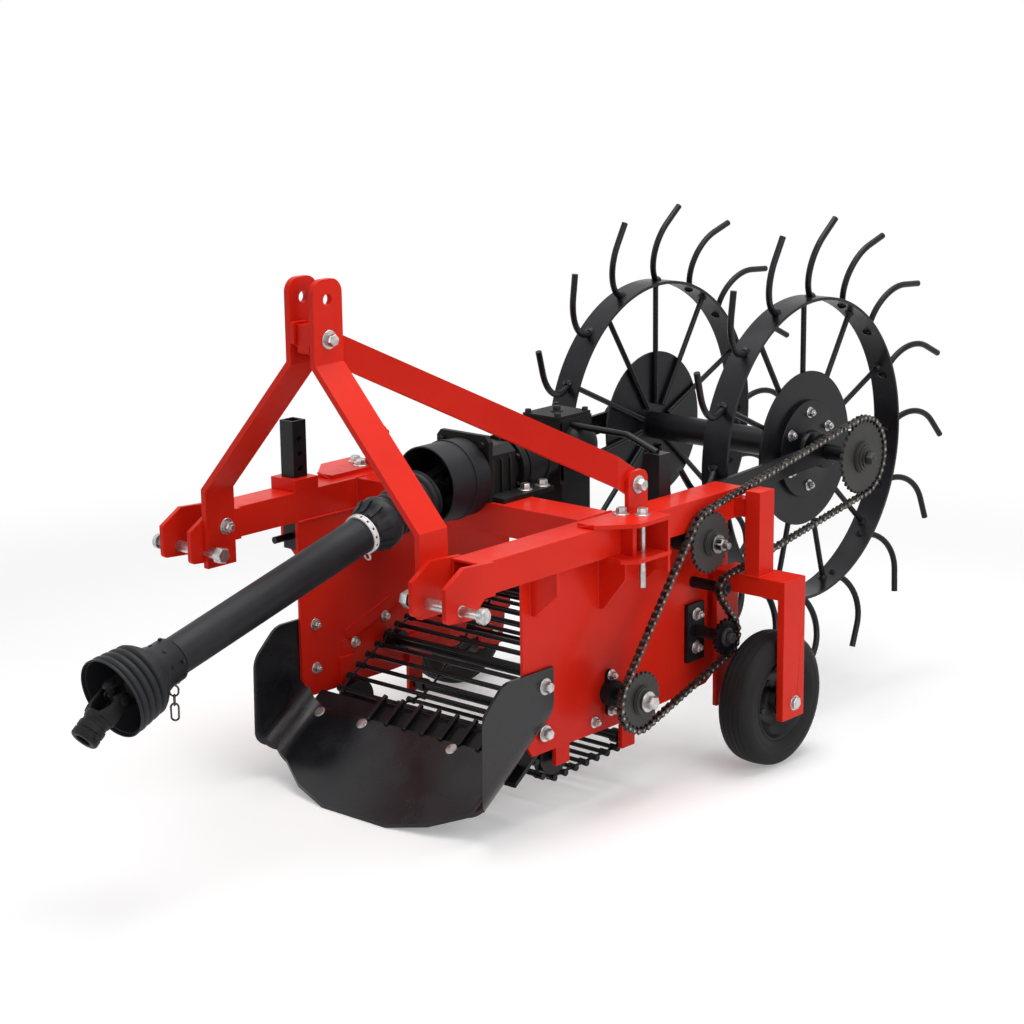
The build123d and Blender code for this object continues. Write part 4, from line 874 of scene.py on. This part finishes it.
# Sections of a yoke's arm from its ear to the hub: along, half width, inner and outer distance from the axis.
ARM_SECTIONS = ((-17, 4, 27.5, 32.5), (-15, 9, 26, 34.5), (-9, 14, 25.4, 35.6), (0, 16.5, 25, 36),
                (12, 17.2, 25, 36.4), (24, 18.6, 24, 36.6), (35, 20.6, 20.5, 36.2), (44, 22.4, 14, 35.4),
                (51, 23.6, 6, 34.4), (58, 24, 0, 33))
SECTION_POINTS, SQUARENESS = 16, 0.55
EAR_CAP, BEARING_CAP = [(0, 12), (7.5, 12), (8.6, 10.5), (8.8, 4)], [(0, 12), (6, 12), (9, 9.5)]


def squared(value):
    """Sine or cosine pushed outward, so that a circle turns into a rounded square."""
    return math.copysign(abs(value) ** SQUARENESS, value)


def yoke(stock, place, hub_profile):
    """Forged fork: two arms on the X sides that swell into a turned hub."""
    for side in (-1, 1):
        rings = []
        for along, half, inner, outer in ARM_SECTIONS:
            ring = []
            for k in range(SECTION_POINTS):
                a = 2 * math.pi * k / SECTION_POINTS
                x = (inner + outer) / 2 + (outer - inner) / 2 * squared(math.cos(a))
                ring.append(place @ Vector((side * x, half * squared(math.sin(a)), along)))
            rings.append(ring)
        stock.skin(rings)
        stock.turned(place @ facing((side * 30, 0, 0), (side, 0, 0)), EAR_CAP, 24)
    stock.turned(place, hub_profile, 40, closed=True)


tractor_yoke = Stock()
yoke_place = sloped(on_drive(JOINT_FRONT).translation, DROOP)
TRACTOR_HUB = [(48, 17.5), (48, 24), (52, 31), (60, 32), (66, 31), (69, 28.6), (76, 28.4), (78, 31), (81, 31.6),
               (92, 31.6), (94, 29.6), (97, 29.6), (98, 31.8), (110, 31.8), (113, 30.6), (115, 27.5), (115, 20),
               (113, 17.5)]                                                     # (along, radius)
SPLINE = [(14.6, -2.6), (18, -2.6), (18, 2.6), (14.6, 2.6)]
LATCH = [(0, 8.5), (5, 8.5), (6, 7), (9, 6.4), (10, 5)]
yoke(tractor_yoke, yoke_place, TRACTOR_HUB)
for k in range(6):
    tractor_yoke.prism(yoke_place @ Matrix.Rotation(math.pi / 3 * k, 4, "Z"), SPLINE, 60, 52)
tractor_yoke.turned(yoke_place @ facing((29, 0, 100), (1, 0.35, 0)), LATCH, 18)
make("forged_tractor_yoke", tractor_yoke, cast_black, body_of["tractor_yoke"], ("tractor_yoke",))

shaft_yoke = Stock()
back_place = on_drive(JOINT_FRONT) @ Matrix.Rotation(math.pi, 4, "X") @ Matrix.Rotation(math.pi / 2, 4, "Z")
SHAFT_HUB = [(48, 10), (48, 24), (52, 31), (62, 32), (66, 30), (68, 26), (84, 25), (86, 14), (300, 14), (300, 10)]
yoke(shaft_yoke, back_place, SHAFT_HUB)
for axis in (LEFT, BEHIND):
    shaft_yoke.turned(back_place @ facing((0, 0, 0), axis), [(-24, 8), (24, 8)], 20)
    for side in (-1, 1):
        end = Vector(axis) * side
        shaft_yoke.turned(back_place @ facing(end * 15, end), BEARING_CAP, 24)
make("forged_shaft_yoke", shaft_yoke, cast_black, body_of["shaft_yoke"], ("shaft_yoke",))


def chain_link(stock, centre, half_wide, half_long, wire, turn):
    """Closed wire link, hanging upright, turned about the vertical."""
    path = []
    for k in range(20):
        a = 2 * math.pi * k / 20
        drop = math.copysign(half_long - half_wide, math.sin(a)) + half_wide * math.sin(a)
        path.append(Vector(centre) + Vector((half_wide * math.cos(a) * math.cos(turn),
                                             half_wide * math.cos(a) * math.sin(turn), drop)))
    stock.bar(path, wire, 8, closed=True)


safety = Stock()
hang = on_drive(912) @ Vector((8, -53, 0))
LINK_TURN = math.radians(41)
LINKS = ((12, 10, 12.1, 2.3, 0), (33, 6, 12, 2.1, math.pi / 2), (60, 8.5, 19, 2.3, 0))      # from the top
for drop, half_wide, half_long, wire, turn in LINKS:
    chain_link(safety, hang + Vector((0, 0, -drop)), half_wide, half_long, wire, LINK_TURN + turn)
make("guard_safety_chain", safety, oiled_steel, body_of["front_cone"])
